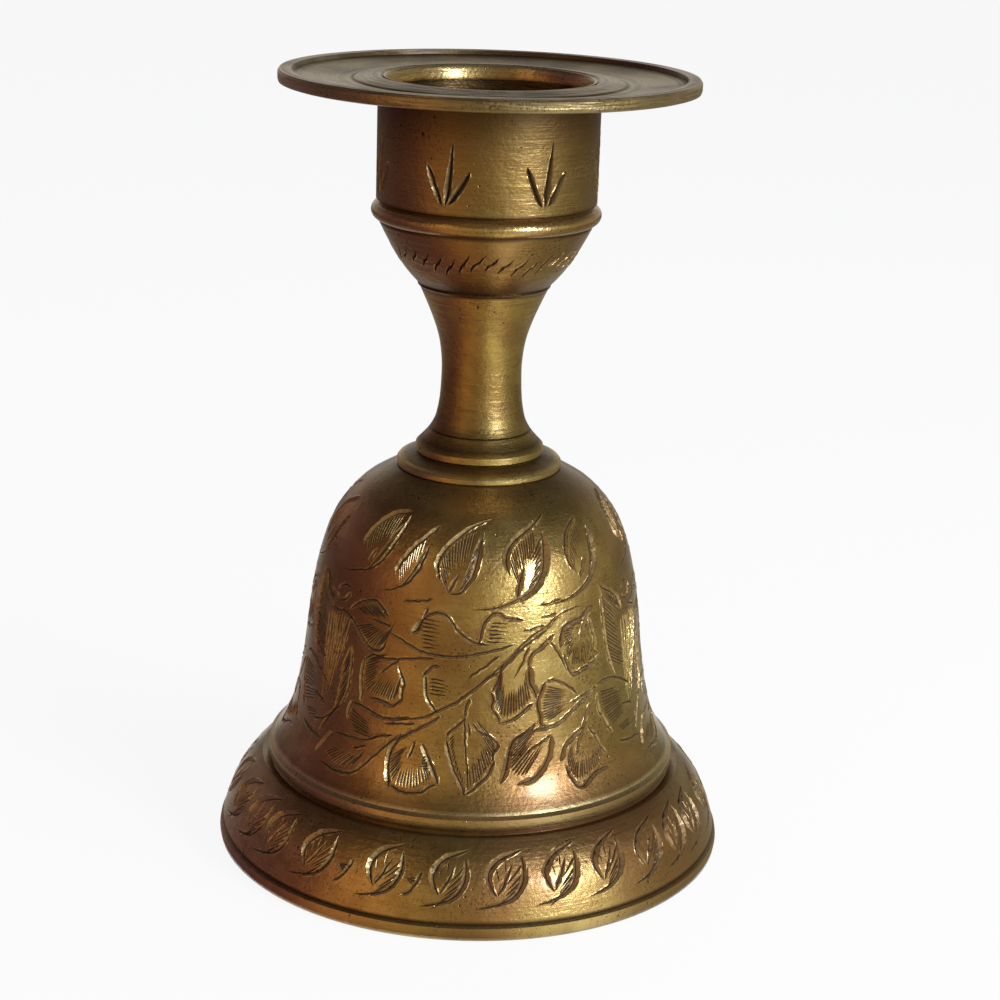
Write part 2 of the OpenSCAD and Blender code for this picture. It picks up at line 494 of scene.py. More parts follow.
    def height(self, spots: np.ndarray) -> tuple[np.ndarray, np.ndarray]:
        """Finds how far the metal stands above the plain surface, below zero in a cut.

        Args:
            spots: Points of the plan.

        Returns:
            The heights, and the distances from the bottom line of a cut, in millimetres.
        """
        if not self.pieces:
            return np.zeros(len(spots)), np.ones(len(spots))
        found, lines = [], []
        for chunk in np.array_split(spots, len(spots) // CHUNK + 1):
            d, half, burr = self.parted(chunk)
            share = np.minimum(1, half / self.full_half)
            ridge, rim = burr * share, self.burr_width * share + TINY
            floor = -self.slope * half
            inside = floor + (ridge - floor) * d / np.maximum(half, TINY)
            outside = ridge * np.clip(1 - (d - half) / rim, 0, 1)
            value = np.where(d < half, inside, outside)
            low, high = value.min(axis=1), value.max(axis=1)
            found.append(np.where(low < -self.shallow, low, high))
            lines.append((d + np.maximum(0, self.full_line - half)).min(axis=1).clip(0, 1))
        return np.concatenate(found), np.concatenate(lines)

    def solve(self, left: float, right: float, top: float) -> tuple[np.ndarray, list[list[int]]]:
        """Fills the plan with triangles.

        Args:
            left: Left side of the plan.
            right: Right side of the plan.
            top: Upper side of the plan.

        Returns:
            The points and the triangles inside the border.
        """
        spots, _, faces, _, _, _ = delaunay_2d_cdt(self.points, self.edges, [], 0, self.merge)
        flat = np.array([tuple(v) for v in spots])
        kept, used = [], {}
        for face in faces:
            middle = flat[list(face)].mean(axis=0)
            if left < middle[0] < right and 0 < middle[1] < top:
                turn = np.cross(flat[face[1]] - flat[face[0]], flat[face[2]] - flat[face[0]])
                if abs(turn) > TINY:
                    order = face if turn > 0 else face[::-1]
                    kept.append([used.setdefault(k, len(used)) for k in order])
        return flat[list(used)], kept


# Node trees

class Nodes:
    """Adds nodes to a tree by short calls."""

    def __init__(self, tree: bpy.types.NodeTree) -> None:
        """Keeps the tree."""
        self.tree = tree

    def link(self, made: bpy.types.NodeSocket, used: bpy.types.NodeSocket) -> None:
        """Joins an output to an input."""
        self.tree.links.new(made, used)

    def fill(self, wanted: bpy.types.NodeSocket, value: Any) -> None:
        """Links an input to a socket, or sets it to a value; a colour may come without its alpha.

        Args:
            wanted: The input.
            value: The socket or value.
        """
        if isinstance(value, bpy.types.NodeSocket):
            self.link(value, wanted)
        elif wanted.type == "RGBA":
            wanted.default_value = (*value[:3], 1.0)
        else:
            wanted.default_value = value

    def add(self, kind: str, inputs: dict[str | int, Any] | None = None, **settings: Any) -> bpy.types.Node:
        """Adds one node.

        Args:
            kind: The node's type.
            inputs: Values for its inputs, or sockets to link to them.
            settings: Other settings of the node.

        Returns:
            The node.
        """
        node = self.tree.nodes.new(kind)
        for name, value in settings.items():
            setattr(node, name, value)
        for name, value in (inputs or {}).items():
            self.fill(node.inputs[name], value)
        return node

    def math(self, operation: str, a: Any, b: Any = 0.0, clamp: bool = False) -> bpy.types.NodeSocket:
        """Adds a sum or product of two values.

        Args:
            operation: The name of the operation.
            a: The first value or socket.
            b: The second value or socket.
            clamp: Whether the result is held between 0 and 1.

        Returns:
            The result's socket.
        """
        return self.add("ShaderNodeMath", {0: a, 1: b}, operation=operation, use_clamp=clamp).outputs[0]

    def times(self, a: Any, b: Any, clamp: bool = False) -> bpy.types.NodeSocket:
        """Multiplies two values."""
        return self.math("MULTIPLY", a, b, clamp)

    def plus(self, a: Any, b: Any, clamp: bool = False) -> bpy.types.NodeSocket:
        """Adds two values."""
        return self.math("ADD", a, b, clamp)

    def minus(self, a: Any, b: Any) -> bpy.types.NodeSocket:
        """Takes the second value from the first."""
        return self.math("SUBTRACT", a, b)

    def over(self, a: Any, b: Any, clamp: bool = False) -> bpy.types.NodeSocket:
        """Divides the first value by the second."""
        return self.math("DIVIDE", a, b, clamp)

    def step(self, value: Any, low: Any, high: Any, soft: bool = True) -> bpy.types.NodeSocket:
        """Turns the way from a low to a high value into 0 to 1.

        Args:
            value: The value or socket.
            low: Where the result is 0.
            high: Where the result is 1.
            soft: Whether the way starts and ends gently.

        Returns:
            The result's socket.
        """
        limits = {"Value": value, "From Min": low, "From Max": high}
        kind = "SMOOTHSTEP" if soft else "LINEAR"
        return self.add("ShaderNodeMapRange", limits, interpolation_type=kind).outputs[0]

    def noise(self, vector: Any, size: Any, detail: float, roughness: float = 0.5) -> bpy.types.NodeSocket:
        """Adds a cloudy noise.

        Args:
            vector: Where it is read.
            size: Its scale, a value or socket.
            detail: How many finer layers it has.
            roughness: How strong the finer layers are.

        Returns:
            The noise's socket.
        """
        inputs = {"Vector": vector, "Scale": size, "Detail": detail, "Roughness": roughness}
        return self.add("ShaderNodeTexNoise", inputs).outputs["Fac"]

    def bump(
        self, height: Any, strength: float, depth: float, under: Any = None, invert: bool = False
    ) -> bpy.types.NodeSocket:
        """Adds fine relief.

        Args:
            height: The relief.
            strength: How much of it shows, up to 1.
            depth: Its depth in metres.
            under: The relief that it lies on, where there is one.
            invert: Whether it goes inward.

        Returns:
            The normal's socket.
        """
        inputs = {"Height": height, "Strength": strength, "Distance": depth}
        if under is not None:
            inputs["Normal"] = under
        return self.add("ShaderNodeBump", inputs, invert=invert).outputs[0]

    def blend(self, amount: Any, a: Any, b: Any) -> bpy.types.NodeSocket:
        """Mixes two colours.

        Args:
            amount: How much of the second shows, a value or socket.
            a: The first colour or socket.
            b: The second colour or socket.

        Returns:
            The mixed colour's socket.
        """
        return self.add("ShaderNodeMix", {0: amount, 6: a, 7: b}, data_type="RGBA").outputs[2]

    def ramp(self, amount: Any, stops: Sequence[tuple[float, Any]]) -> bpy.types.NodeSocket:
        """Looks a value up on a line of stops.

        Args:
            amount: The value, from 0 to 1.
            stops: Places from 0 to 1, each with a value or a colour.

        Returns:
            The found colour's socket.
        """
        node = self.add("ShaderNodeValToRGB", {0: amount})
        marks = node.color_ramp.elements
        while len(marks) < len(stops):
            marks.new(0.5)
        for mark, (place, value) in zip(marks, stops):
            colour = value if isinstance(value, tuple) else (value, value, value)
            mark.position, mark.color = place, (*colour, 1.0)
        return node.outputs[0]

    def group(self, tree: bpy.types.NodeTree, **inputs: Any) -> Any:
        """Places a shared group and gives its outputs."""
        return self.add("ShaderNodeGroup", inputs, node_tree=tree).outputs


def emptied(owner: bpy.types.Material | bpy.types.World) -> Nodes:
    """Clears the nodes of a new material or world and gives their helper.

    Args:
        owner: The material or world.

    Returns:
        The helper of its empty tree.
    """
    owner.use_nodes = True
    owner.node_tree.nodes.clear()
    return Nodes(owner.node_tree)


def placed(name: str, data: Any) -> bpy.types.Object:
    """Makes an object of some data and puts it in the scene.

    Args:
        name: The name of the object.
        data: Its mesh, light or camera.

    Returns:
        The object.
    """
    made = bpy.data.objects.new(name, data)
    bpy.context.scene.collection.objects.link(made)
    return made


def ring_tree() -> bpy.types.NodeTree:
    """Builds the nodes that repeat a sector round the axis, join the copies and finish them.

    Returns:
        The tree, with the inputs Copies, Join Within and Finish.
    """
    tree = bpy.data.node_groups.new("repeat round the axis", "GeometryNodeTree")
    tree.interface.new_socket("Geometry", in_out="OUTPUT", socket_type="NodeSocketGeometry")
    inputs = {"Geometry": "Geometry", "Copies": "Int", "Join Within": "Float", "Finish": "Material"}
    for name, kind in inputs.items():
        tree.interface.new_socket(name, in_out="INPUT", socket_type=f"NodeSocket{kind}")
    n = Nodes(tree)
    start = n.add("NodeGroupInput").outputs
    share = n.over(n.add("GeometryNodeInputIndex").outputs[0], start["Copies"])
    aim = n.add("ShaderNodeCombineXYZ", {"Z": n.times(share, 2 * math.pi)}).outputs[0]
    points = n.add("GeometryNodePoints", {"Count": start["Copies"]}).outputs[0]
    spread = {"Points": points, "Instance": start["Geometry"], "Rotation": aim}
    copies = n.add("GeometryNodeInstanceOnPoints", spread).outputs[0]
    real = n.add("GeometryNodeRealizeInstances", {0: copies}).outputs[0]
    join = {"Geometry": real, "Distance": start["Join Within"]}
    joined = n.add("GeometryNodeMergeByDistance", join).outputs[0]
    finish = {"Geometry": joined, "Material": start["Finish"]}
    n.add("NodeGroupOutput", {0: n.add("GeometryNodeSetMaterial", finish).outputs[0]})
    return tree


def turned_piece(
    name: str, sector: Sector, tree: bpy.types.NodeTree, finish: bpy.types.Material
) -> bpy.types.Object:
    """Repeats a sector round the axis and gives the result its normals.

    Args:
        name: The name of the piece.
        sector: The sector.
        tree: The nodes that repeat it.
        finish: The material of the piece.

    Returns:
        The finished piece, a plain mesh at the origin.
    """
    piece = placed(name, sector.mesh(f"{name} sector"))
    modifier = piece.modifiers.new("ring", "NODES")
    modifier.node_group = tree
    wanted = {"Copies": round(360 / sector.span), "Join Within": JOIN_MM * MM, "Finish": finish}
    for socket in tree.interface.items_tree:
        if socket.name in wanted:
            modifier[socket.identifier] = wanted[socket.name]
    bpy.context.view_layer.update()
    evaluated = piece.evaluated_get(bpy.context.evaluated_depsgraph_get())
    whole = bpy.data.meshes.new_from_object(evaluated)
    piece.modifiers.clear()
    piece.data = whole
    whole.name = name
    lay_normals(whole)
    return piece


def lay_normals(mesh: bpy.types.Mesh) -> None:
    """Sets the corner normals of a turned mesh from their kept outward and upward parts.

    Args:
        mesh: The whole mesh, which loses the attribute that kept them.
    """
    spots = np.zeros(len(mesh.vertices) * 3, np.float32)
    mesh.vertices.foreach_get("co", spots)
    owner = np.zeros(len(mesh.loops), np.int32)
    mesh.loops.foreach_get("vertex_index", owner)
    spots = spots.reshape(-1, 3)[owner]
    kept = np.zeros(len(owner) * 3, np.float32)
    mesh.attributes["turned_normal"].data.foreach_get("vector", kept)
    kept = kept.reshape(-1, 3)
    across = np.linalg.norm(spots[:, :2], axis=1, keepdims=True)
    outward = spots[:, :2] / np.maximum(across, TINY)
    normals = np.column_stack([outward * kept[:, :1], kept[:, 2]])
    normals[across[:, 0] < ON_AXIS] = (0, 0, 1)
    flat = np.zeros(len(mesh.polygons) * 3, np.float32)
    mesh.polygons.foreach_get("normal", flat)
    sides = np.zeros(len(mesh.polygons), np.int32)
    mesh.polygons.foreach_get("loop_total", sides)
    flat = np.repeat(flat.reshape(-1, 3), sides, axis=0)
    bare = np.linalg.norm(kept, axis=1) < 0.5
    normals[bare] = flat[bare]
    mesh.shade_smooth()
    mesh.attributes.remove(mesh.attributes["turned_normal"])
    mesh.normals_split_custom_set(normals.tolist())


# Engraving of the bell

def upper_leaves(g: Graver) -> None:
    """Engraves the row of leaves under the dome.

    Args:
        g: The graver of the waist.
    """
    g.cut(
        (-31, 43.5), (-35, 43.3), (-40, 43), (-44, 42.2), (-46.5, 41.4), (-48, 40.5), (-48.3, 39.7),
        (-47, 39), width=0.7,
    )
    g.cut(
        (-31.5, 43.2), (-32, 42), (-34, 40.3), (-36.5, 38.8), (-39, 37.8), (-43, 37), (-48, 36.6),
        (-53, 36.2), (-57, 36), width=0.6, tail=0.6,
    )
    g.cut((-44, 37.8), (-42.5, 38.6), (-41, 39.5), width=0.45)
    g.fan(((-34, 43.1), (-41, 42.6), (-45.5, 41.3), (-47.4, 40)), (-41, 35), 2.3, 0.58, 0.22)
    g.fan(((-32.3, 42.6), (-34.2, 40.9), (-37, 39.2), (-39.5, 38.2)), (-62, 31), 2.6, 0.55, 0.3)

    g.cut(
        (-15.5, 42.7), (-19, 42), (-22, 41.2), (-25, 40.4), (-27.5, 39.3), (-29.5, 38.3), (-30, 37.3),
        width=0.65,
    )
    g.cut(
        (-18.5, 40.9), (-19.5, 39.8), (-21.5, 38.2), (-24, 37), (-27, 36.2), (-31, 35.6), (-36, 35.2),
        width=0.6, tail=0.6,
    )
    g.fan(((-20, 41.5), (-24, 40.6), (-27, 39.4), (-29.3, 38.1)), (-25, 32), 1.9, 0.5, 0.22)
    g.fan(((-19.3, 40.6), (-21.5, 38.7), (-24.5, 37.3)), (-45, 29), 1.6, 0.52, 0.32)

    g.cut(
        (7.5, 43.5), (2, 43.1), (-3, 42.6), (-7, 41.9), (-10, 41.2), (-12.5, 40.4), (-14, 39.6),
        (-14.3, 38.8), (-13.5, 38), (-12.4, 37.2), width=0.75, lead=0.45, tail=0.2,
    )
    g.cut(
        (3.4, 42.4), (1.5, 41), (0.5, 39.5), (-1, 38), (-3, 37.2), (-5, 36.2), (-9.5, 36), width=0.9,
        lead=0.25, tail=0.5,
    )
    g.cut((-9.7, 36), (-7.5, 37.3), (-5.4, 38.5), width=0.55, lead=0.2, tail=0.6)
    g.fan(((0, 42.4), (-6, 41.8), (-10.5, 40.8), (-13, 39.6), (-13.2, 38.2)), (-7, 34.6), 2.7, 0.5, 0.24)
    g.fan(((2.6, 42), (0.2, 40), (-1.3, 38.3), (-3.5, 37.3)), (-30, 27), 2.0, 0.5, 0.34)
    for spot in ((-14.6, 39.9), (-14.9, 39), (-14.2, 38), (-13, 40.9)):
        g.cut(spot, (spot[0] + 1.6, spot[1] - 0.3), width=0.3)

    g.cut(
        (33.5, 43.8), (29, 43.2), (25, 42.7), (21, 42.2), (17.5, 41.8), (14.5, 41.2), (12.5, 40.5),
        (11.7, 39.6), (12, 38.8), (13, 37.9), width=0.8, lead=0.4, tail=0.2,
    )
    g.cut(
        (28.6, 42.2), (28.2, 40.5), (26.7, 38.7), (25, 37.7), (22, 36.6), (18, 35.8), (15, 35.5), (11, 35),
        (6, 34.6), (-1, 34.5), width=1.15, lead=0.18, tail=0.75,
    )
    g.cut((15.1, 35.6), (16.5, 37.2), (18.4, 39), width=0.8, lead=0.25, tail=0.45)
    g.fan(((25.5, 42.5), (19, 41.6), (14.6, 40.7), (12.8, 39.4)), (18.5, 34.6), 2.9, 0.48, 0.3)
    g.fan(((27.5, 41.8), (27, 39.8), (25.5, 38.3), (22.5, 37.1)), (-20, 26), 2.7, 0.52, 0.38)

    g.cut(
        (50.5, 42.9), (45, 42.3), (41, 41.7), (38.5, 40.8), (37.2, 39.8), (37.8, 38.7), (39, 37.7),
        width=0.7,
    )
    g.cut(
        (54.5, 42.5), (52.5, 40.5), (50.5, 38.3), (48, 37.2), (44, 36.2), (39, 35.4), (34, 34.9),
        (25, 34.5), width=0.85, lead=0.25, tail=0.75,
    )
    g.cut((41.2, 36.8), (44, 38.2), (45.8, 39.2), width=0.55)
    g.fan(((48, 42.3), (43, 41.6), (39.5, 40.5), (38.2, 39.2)), (42.5, 34), 2.3, 0.55, 0.22)
    g.fan(((53.4, 42), (51.5, 39.8), (49, 38)), (20, 28), 1.9, 0.55, 0.3)
    for line in (
        ((-25.5, 34.6), (-20, 34.9), (-14.5, 35.3)),
        ((23, 33.35), (27, 33.5), (30, 33.6)),
        ((16.5, 32), (20, 32.2), (24.5, 32.5)),
        ((23, 34.7), (27, 34.8), (32, 35.1)),
    ):
        g.cut(*line, width=0.35)


def branch(g: Graver) -> None:
    """Engraves the stems of the spray.

    Args:
        g: The graver of the waist.
    """
    g.cut((-26, 18.6), (-22, 19.5), (-17, 20.6), (-12, 21.8), (-9.5, 22.4), width=0.6, lead=0.15)
    g.cut(
        (-27, 20.9), (-20, 21.6), (-15, 22.1), (-11, 22.9), (-5, 24.1), (0, 25.5), (6, 27.2), (11, 28.6),
        (15, 30), (20, 31.4), (25, 32.2), (30, 33.3), (36, 33.8), (41, 33.9), width=0.5, lead=0.2, tail=0.2,
    )
    g.cut((4, 26.6), (10, 28), (15, 29.7), (20, 31), (26, 32), width=0.4)
    g.cut((-2, 26.8), (3, 28), (9, 29.5), width=0.35)
    g.cut(
        (-29.5, 31.1), (-25, 30.4), (-20, 29.7), (-15, 29.3), (-8, 29.2), (-2, 29.4), (5, 29.9),
        (14.5, 30.7), width=0.45,
    )
    g.cut((-26, 28.1), (-20, 28.5), (-12.5, 28.85), width=0.4)
    g.cut((18, 20.7), (25, 20.8), (29, 21.2), (33, 22), (38, 23), (42, 23.8), (46, 24.3), width=0.55)
    g.cut((-28.5, 20.6), (-23, 20.9), (-17.5, 21.2), width=0.35)
    g.cut((13.5, 26.7), (16, 28.2), (19.2, 30.4), width=0.42, lead=0.6)
    g.cut((18.3, 27.9), (20, 29.3), (23, 30), (28.5, 31.4), width=0.65)
    g.cut((-0.5, 24.7), (-1.9, 23.5), (-2.1, 22.3), width=0.55)
    g.cut((37.8, 19.9), (40, 21.5), (43.5, 23.3), width=0.5)
    g.cut((33, 23.2), (37, 23.5), (41, 24.1), width=0.3)


def left_leaves(g: Graver) -> None:
    """Engraves the leaves of the spray that lie left of its stem.

    Args:
        g: The graver of the waist.
    """
    g.cut((-48, 32), (-45, 33), (-40, 33.8), (-37, 34), (-34, 33.6), (-30.2, 32.5), width=0.5)
    g.cut(
        (-47.5, 31.4), (-43, 30.3), (-39, 29.2), (-36.5, 28.5), (-34, 28.5), (-32, 28.8), (-29.8, 30),
        width=0.5,
    )
    g.cut((-37.5, 31.95), (-33, 31.75), (-28.5, 31.6), width=0.35)
    g.fan(
        ((-44, 30.6), (-41, 29.8), (-37.5, 28.95), (-34, 28.8), (-31, 29.7)), (-27.5, 32.4), 3.0, 0.36,
        0.26,
    )
    g.fan(((-45, 32.6), (-40, 33.4), (-36, 33.5)), (-26, 31.2), 2.6, 0.42, 0.26)

    g.cut((-38, 27.4), (-39, 26), (-38.9, 24.5), (-38.2, 23), (-38.3, 22.1), width=0.5)
    g.cut((-38.4, 27.1), (-35.5, 27.9), (-30, 27.9), (-24.5, 28.1), width=0.45)
    g.cut(
        (-35.5, 23.1), (-30, 23), (-26.7, 22.7), (-24, 23.4), (-23.2, 23.8), (-23.3, 24.8), (-22.5, 25.3),
        (-23.5, 26.2), (-25.3, 27.5), width=0.55,
    )
    g.cut((-32, 26), (-28, 27.2), (-24.5, 28.2), width=0.4)
    g.fan(
        ((-35, 27.7), (-37.8, 27), (-38.2, 25.6), (-37.7, 24), (-36.5, 23.5)), (-20, 29.6), 2.4, 0.36, 0.28,
    )
    g.fan(((-35.5, 23.4), (-31, 23.3), (-27, 23.1), (-25, 23.9)), (-21, 31), 2.6, 0.36, 0.28)

    g.cut(
        (-42.8, 19.7), (-43, 21), (-42, 21.7), (-38, 21.8), (-30, 21.2), (-25, 21.3), (-19.5, 21.9),
        width=0.55,
    )
    g.cut((-47.5, 17.8), (-40, 18), (-35, 18.1), (-30, 19), (-24.5, 19.5), width=0.45)
    g.fan(((-42.2, 21.4), (-42.4, 20.4), (-41.5, 19.4), (-40, 18.7)), (-22, 18.4), 3.4, 0.42, 0.22)

    g.cut((-54, 14.8), (-51, 16.5), (-47.8, 17.8), width=0.7)
    g.cut(
        (-50.5, 14.3), (-45, 14), (-40, 14.1), (-37, 14.4), (-35, 15), (-32, 16.2), (-29, 17.4),
        (-26, 18.6), (-22.5, 19.7), width=0.55,
    )
    g.fan(((-50.5, 15.3), (-46, 14.6), (-41, 14.6), (-37.5, 15.1)), (-26, 20.6), 2.6, 0.42, 0.28)
    g.cut((-39.5, 16.8), (-37, 17.1), (-33.5, 17.6), width=0.3)

    g.cut((-56.5, 33.6), (-53, 34.5), (-48.6, 34.3), width=0.45)
    g.cut((-56.8, 33.4), (-54, 32.6), (-51.5, 32.9), (-48.3, 34.1), width=0.5)

    g.cut((-22, 31.2), (-19.8, 31.6), (-18.3, 32.6), (-17.2, 33.2), width=1.0, lead=0.35, tail=0.35)
    g.cut(
        (-18.6, 32.2), (-17.5, 33), (-15, 33.7), (-12, 33.9), (-10, 33.8), (-8, 33.2), (-5, 32), (-2, 31.3),
        (1, 30.8), (5.5, 30.6), width=0.5,
    )
    g.cut((-18, 32.9), (-15.6, 34.5), width=0.4)
    for i in range(8):
        z = 33.1 - 0.44 * i
        g.cut(
            (-18.5 + 0.1 * i, z), (-15, z - 0.05), (-10.6 - 0.4 * (i % 3), z - 0.14), width=0.24, lead=0.08,
            tail=0.6,
        )

    g.cut((-17, 26.6), (-15.3, 27.1), (-13.5, 27.9), (-10.5, 28), width=0.6)
    g.cut((-15.4, 26.9), (-15, 25), (-14, 24), (-12.5, 23.3), (-10.8, 22.7), width=0.5)
    for i in range(5):
        g.cut(
            (-14.4, 26.5 - 0.42 * i), (-11, 26.5 - 0.42 * i), (-7.6, 26.35 - 0.42 * i), width=0.24,
            tail=0.4,
        )

    g.cut((-15.3, 19.2), (-13.5, 18), (-12, 17), (-10.8, 16.2), (-9, 14.9), width=0.7)
    g.cut((-9.2, 14.9), (-12, 14.6), (-13.5, 14.1), (-17, 13.8), (-21, 13.9), (-23.7, 14.2), width=0.5)
    g.cut((-23.4, 13.9), (-25, 15.2), (-25.5, 16.5), (-25, 17.8), (-22, 19.9), width=0.7)
    g.cut((-17, 19.4), (-19.2, 17.1), width=0.4)
    g.fan(((-25, 17.3), (-24.7, 15.4), (-23, 14.5)), (-17, 19.4), 2.4, 0.36, 0.3)
    g.fan(
        ((-22.2, 14.3), (-19, 14.2), (-16, 14.2), (-12.8, 14.8), (-11.3, 15.8)), (-18.5, 20.5), 2.2, 0.4,
        0.26,
    )
    g.fan(((-13.8, 18), (-12.6, 16.9), (-11.5, 16)), (-17, 16.4), 0.9, 0.36)


def right_leaves(g: Graver) -> None:
    """Engraves the leaves of the spray that lie right of its stem.

    Args:
        g: The graver of the waist.
    """
    g.cut((1.9, 30.6), (3.3, 32.9), (6, 34), (7.5, 34.2), (9.5, 34), (11, 33.6), (17.5, 33.3), width=0.6)
    for i in range(6):
        z = 33.1 - 0.42 * i
        g.cut(
            (4.6 - 0.2 * i, z), (8, z - 0.02), (12 - 0.4 * (i % 2), z - 0.12), width=0.24, lead=0.08,
            tail=0.6,
        )

    g.cut((8.9, 27.4), (7.8, 26), (6.2, 25.3), width=0.5)
    g.cut((5.6, 25.4), (7.2, 24.5), (6.2, 23.6), (7.8, 22.9), (9, 21.8), width=0.5)
    g.cut((8.6, 21.8), (12, 22), (15, 22.5), (17.5, 23.2), (20.3, 23.9), width=0.55)
    g.cut((21.6, 24.2), (20.8, 25.2), (19.4, 26), (19.2, 27), (18.9, 28.2), width=0.9)
    g.fan(
        ((8, 26.2), (7.6, 24.6), (8.8, 22.8), (10.5, 22.3), (14, 22.7), (17, 23.4), (19.4, 24.2)), (14, 34),
        3.1, 0.4, 0.32,
    )

    g.cut((-1.6, 22.4), (-4, 21.5), (-6.5, 20.8), (-7.8, 19.9), width=0.5)
    g.cut(
        (-7.8, 20), (-6.8, 18.7), (-5.8, 17.5), (-4.8, 16.5), (-3.2, 15.6), (-2, 14.7), (-1.3, 13.9),
        width=0.6,
    )
    g.cut((-1.6, 14), (0, 14.4), (2.5, 15.1), (5, 16), (7.7, 17.7), width=0.55)
    g.cut((7.6, 17.4), (6.8, 18.3), (8.6, 19.3), (5.3, 20.5), (2.7, 20.8), (0, 22), width=0.45)
    g.cut((-2, 22.3), (-1.8, 20), (-1, 17.5), (-0.3, 15.3), width=0.45, lead=0.15, tail=0.7)
    g.cut((-1, 22), (-0.2, 20.1), width=0.35)
    g.fan(((-6.9, 20), (-6, 18.4), (-4.3, 16.6), (-2, 15)), (-1.6, 21.6), 0.9, 0.4, 0.28)
    g.fan(((-1, 14.6), (2, 15.3), (5, 16.4), (7, 17.7)), (-1.6, 25), 2.3, 0.38, 0.32)
    g.fan(((7.4, 18), (7.6, 19.4), (5, 20.5)), (-6, 26), 2.4, 0.34, 0.3)

    g.cut(
        (9, 15.1), (10.3, 15.9), (11.3, 17), (12.2, 18.5), (13.5, 19.7), (16, 20.4), (18.5, 20.9),
        width=0.8, lead=0.15, tail=0.4,
    )
    g.cut(
        (13.8, 15), (17, 15.2), (19.5, 15.5), (22, 16.2), (24, 17), (25.5, 18.2), (26.2, 20), width=0.8,
        lead=0.2,
    )
    g.cut((16.5, 18), (20.5, 18.9), (26, 20), width=0.4)
    g.fan(((14.6, 20), (12.7, 18.4), (12.1, 16.8), (13.5, 15.9), (17, 15.9)), (40, 27), 3.6, 0.42, 0.26)

    g.cut((37, 23.9), (33, 25.2), (30, 25.8), (27, 26.2), (24.5, 26), width=0.5)
    g.cut((24.6, 26.2), (22.8, 24.8), (21.8, 23.6), (22.6, 22), (22.8, 21.2), (25.3, 21.1), width=0.6)
    g.fan(((24.8, 25.7), (23.4, 24.5), (22.8, 23.2), (23.4, 22), (25.2, 21.5)), (39, 23.9), 3.2, 0.34, 0.26)

    g.cut((30.2, 29.6), (31.5, 31.4), (33, 32), (37, 32.4), (40, 32.5), (42, 33), (45.5, 33.8), width=0.85)
    g.cut((42.8, 32.5), (44, 31), (45, 29.8), (45, 28.4), (47.3, 28), width=0.45)
    g.cut((47.3, 28), (45, 27.2), (42, 26.9), (39, 26.7), (35, 26.4), (33, 27.5), (31.2, 29.1), width=0.6)
    g.cut((38.6, 30.3), (40, 31.3), (41.8, 32.6), width=0.7)
    g.cut((26.5, 30.7), (29.5, 29.1), (33, 26.8), width=0.4)
    g.fan(((34, 32), (32, 31.4), (31.8, 29.8), (33, 28.1)), (40.5, 31.4), 1.5, 0.36, 0.28)
    g.fan(((34.2, 27.3), (37, 27.1), (41, 27.3), (44.4, 28.2)), (39.5, 38), 2.5, 0.36, 0.28)

    g.cut((28.6, 16.8), (31, 18.5), (34, 19.3), (38.8, 20.1), width=0.7)
    g.cut((39.8, 20), (42.5, 18.8), (44.3, 17.5), (47, 16.2), width=0.45)
    g.cut(
        (46.8, 15), (43, 15), (40, 14.7), (37, 14.2), (35, 13.8), (33, 14), (31.5, 15), (30, 16.5),
        width=0.65,
    )
    g.cut((37.8, 19.8), (36, 18.6), (34.5, 17.2), width=0.5)
    g.fan(((31, 17), (31.2, 15.8), (33, 14.6), (36, 14.6), (40, 15.1), (45, 16)), (43, 25), 2.0, 0.36, 0.28)


def flower(g: Graver) -> None:
    """Engraves the large flower, whose middle lies on the join of two sectors.

    Args:
        g: The graver of the waist.
    """
    g.cut((45, 24.4), (50, 24.6), (55, 24.3), (60, 23.6), (64.5, 22.6), width=0.5)
    g.cut((45, 23.6), (45.2, 21.5), (47, 20.5), (49, 19.2), (51.4, 18.2), width=0.45)
    g.cut((57.5, 20.9), (61, 20.7), (65.5, 20.2), width=0.4)
    g.cut((53.5, 17), (60, 16.5), (66.5, 16.4), width=0.45)
    g.fan(((46.2, 23.6), (46.6, 21.8), (48.5, 20.3), (51, 19)), (80, 22.4), 3.6, 0.42, 0.3)
    g.fan(((53.4, 18.6), (56, 17.8)), (75, 19.4), 2.6, 0.4, 0.28)

    g.cut((50, 35.5), (53, 34.9), (57, 34.2), (60.5, 33.2), (62.5, 31.8), width=0.55)
    g.cut((50.5, 35.3), (50, 33), (50.2, 31), (50.7, 29), (51.5, 27.5), (53, 26), (55.5, 24.5), width=0.5)
    g.fan(((50.6, 34.4), (50.6, 32), (50.9, 30), (51.8, 28), (53.2, 26.4)), (110, 16), 3.7, 0.52, 0.38)
    g.fan(((53, 34.6), (56, 34.1), (60, 33.2)), (72, 26), 2.4, 0.42, 0.34)

    g.cut(
        (75.5, 28.3), (76, 26), (75.8, 24), (75, 22.5), (73, 21), (70, 20), (67, 19), (64, 18.4),
        (59, 17.9), width=0.5,
    )
    g.cut((62, 31.6), (66, 31.4), (70, 31.7), (75.4, 31), width=0.45)
    for start, low in (
        (60.6, 21.5), (62.8, 20.4), (65, 21.8), (67.2, 20.8), (69.4, 22), (71.6, 21.4), (73.6, 23.2),
    ):
        g.cut(
            (start, 30.8), (start * 0.7 + 18.8, 26.4), (start * 0.35 + 40.6, low), width=0.3, lead=0.1,
            tail=0.5,
        )
    g.fan(((75.2, 28.4), (75.4, 25), (74.6, 22.8), (72, 21), (69, 19.8)), (52, 10), 3.4, 0.52, 0.34)
    g.fan(((62, 31.2), (66, 31.1), (70, 31.3), (74, 31)), (67, 12), 2.8, 0.55, 0.34)


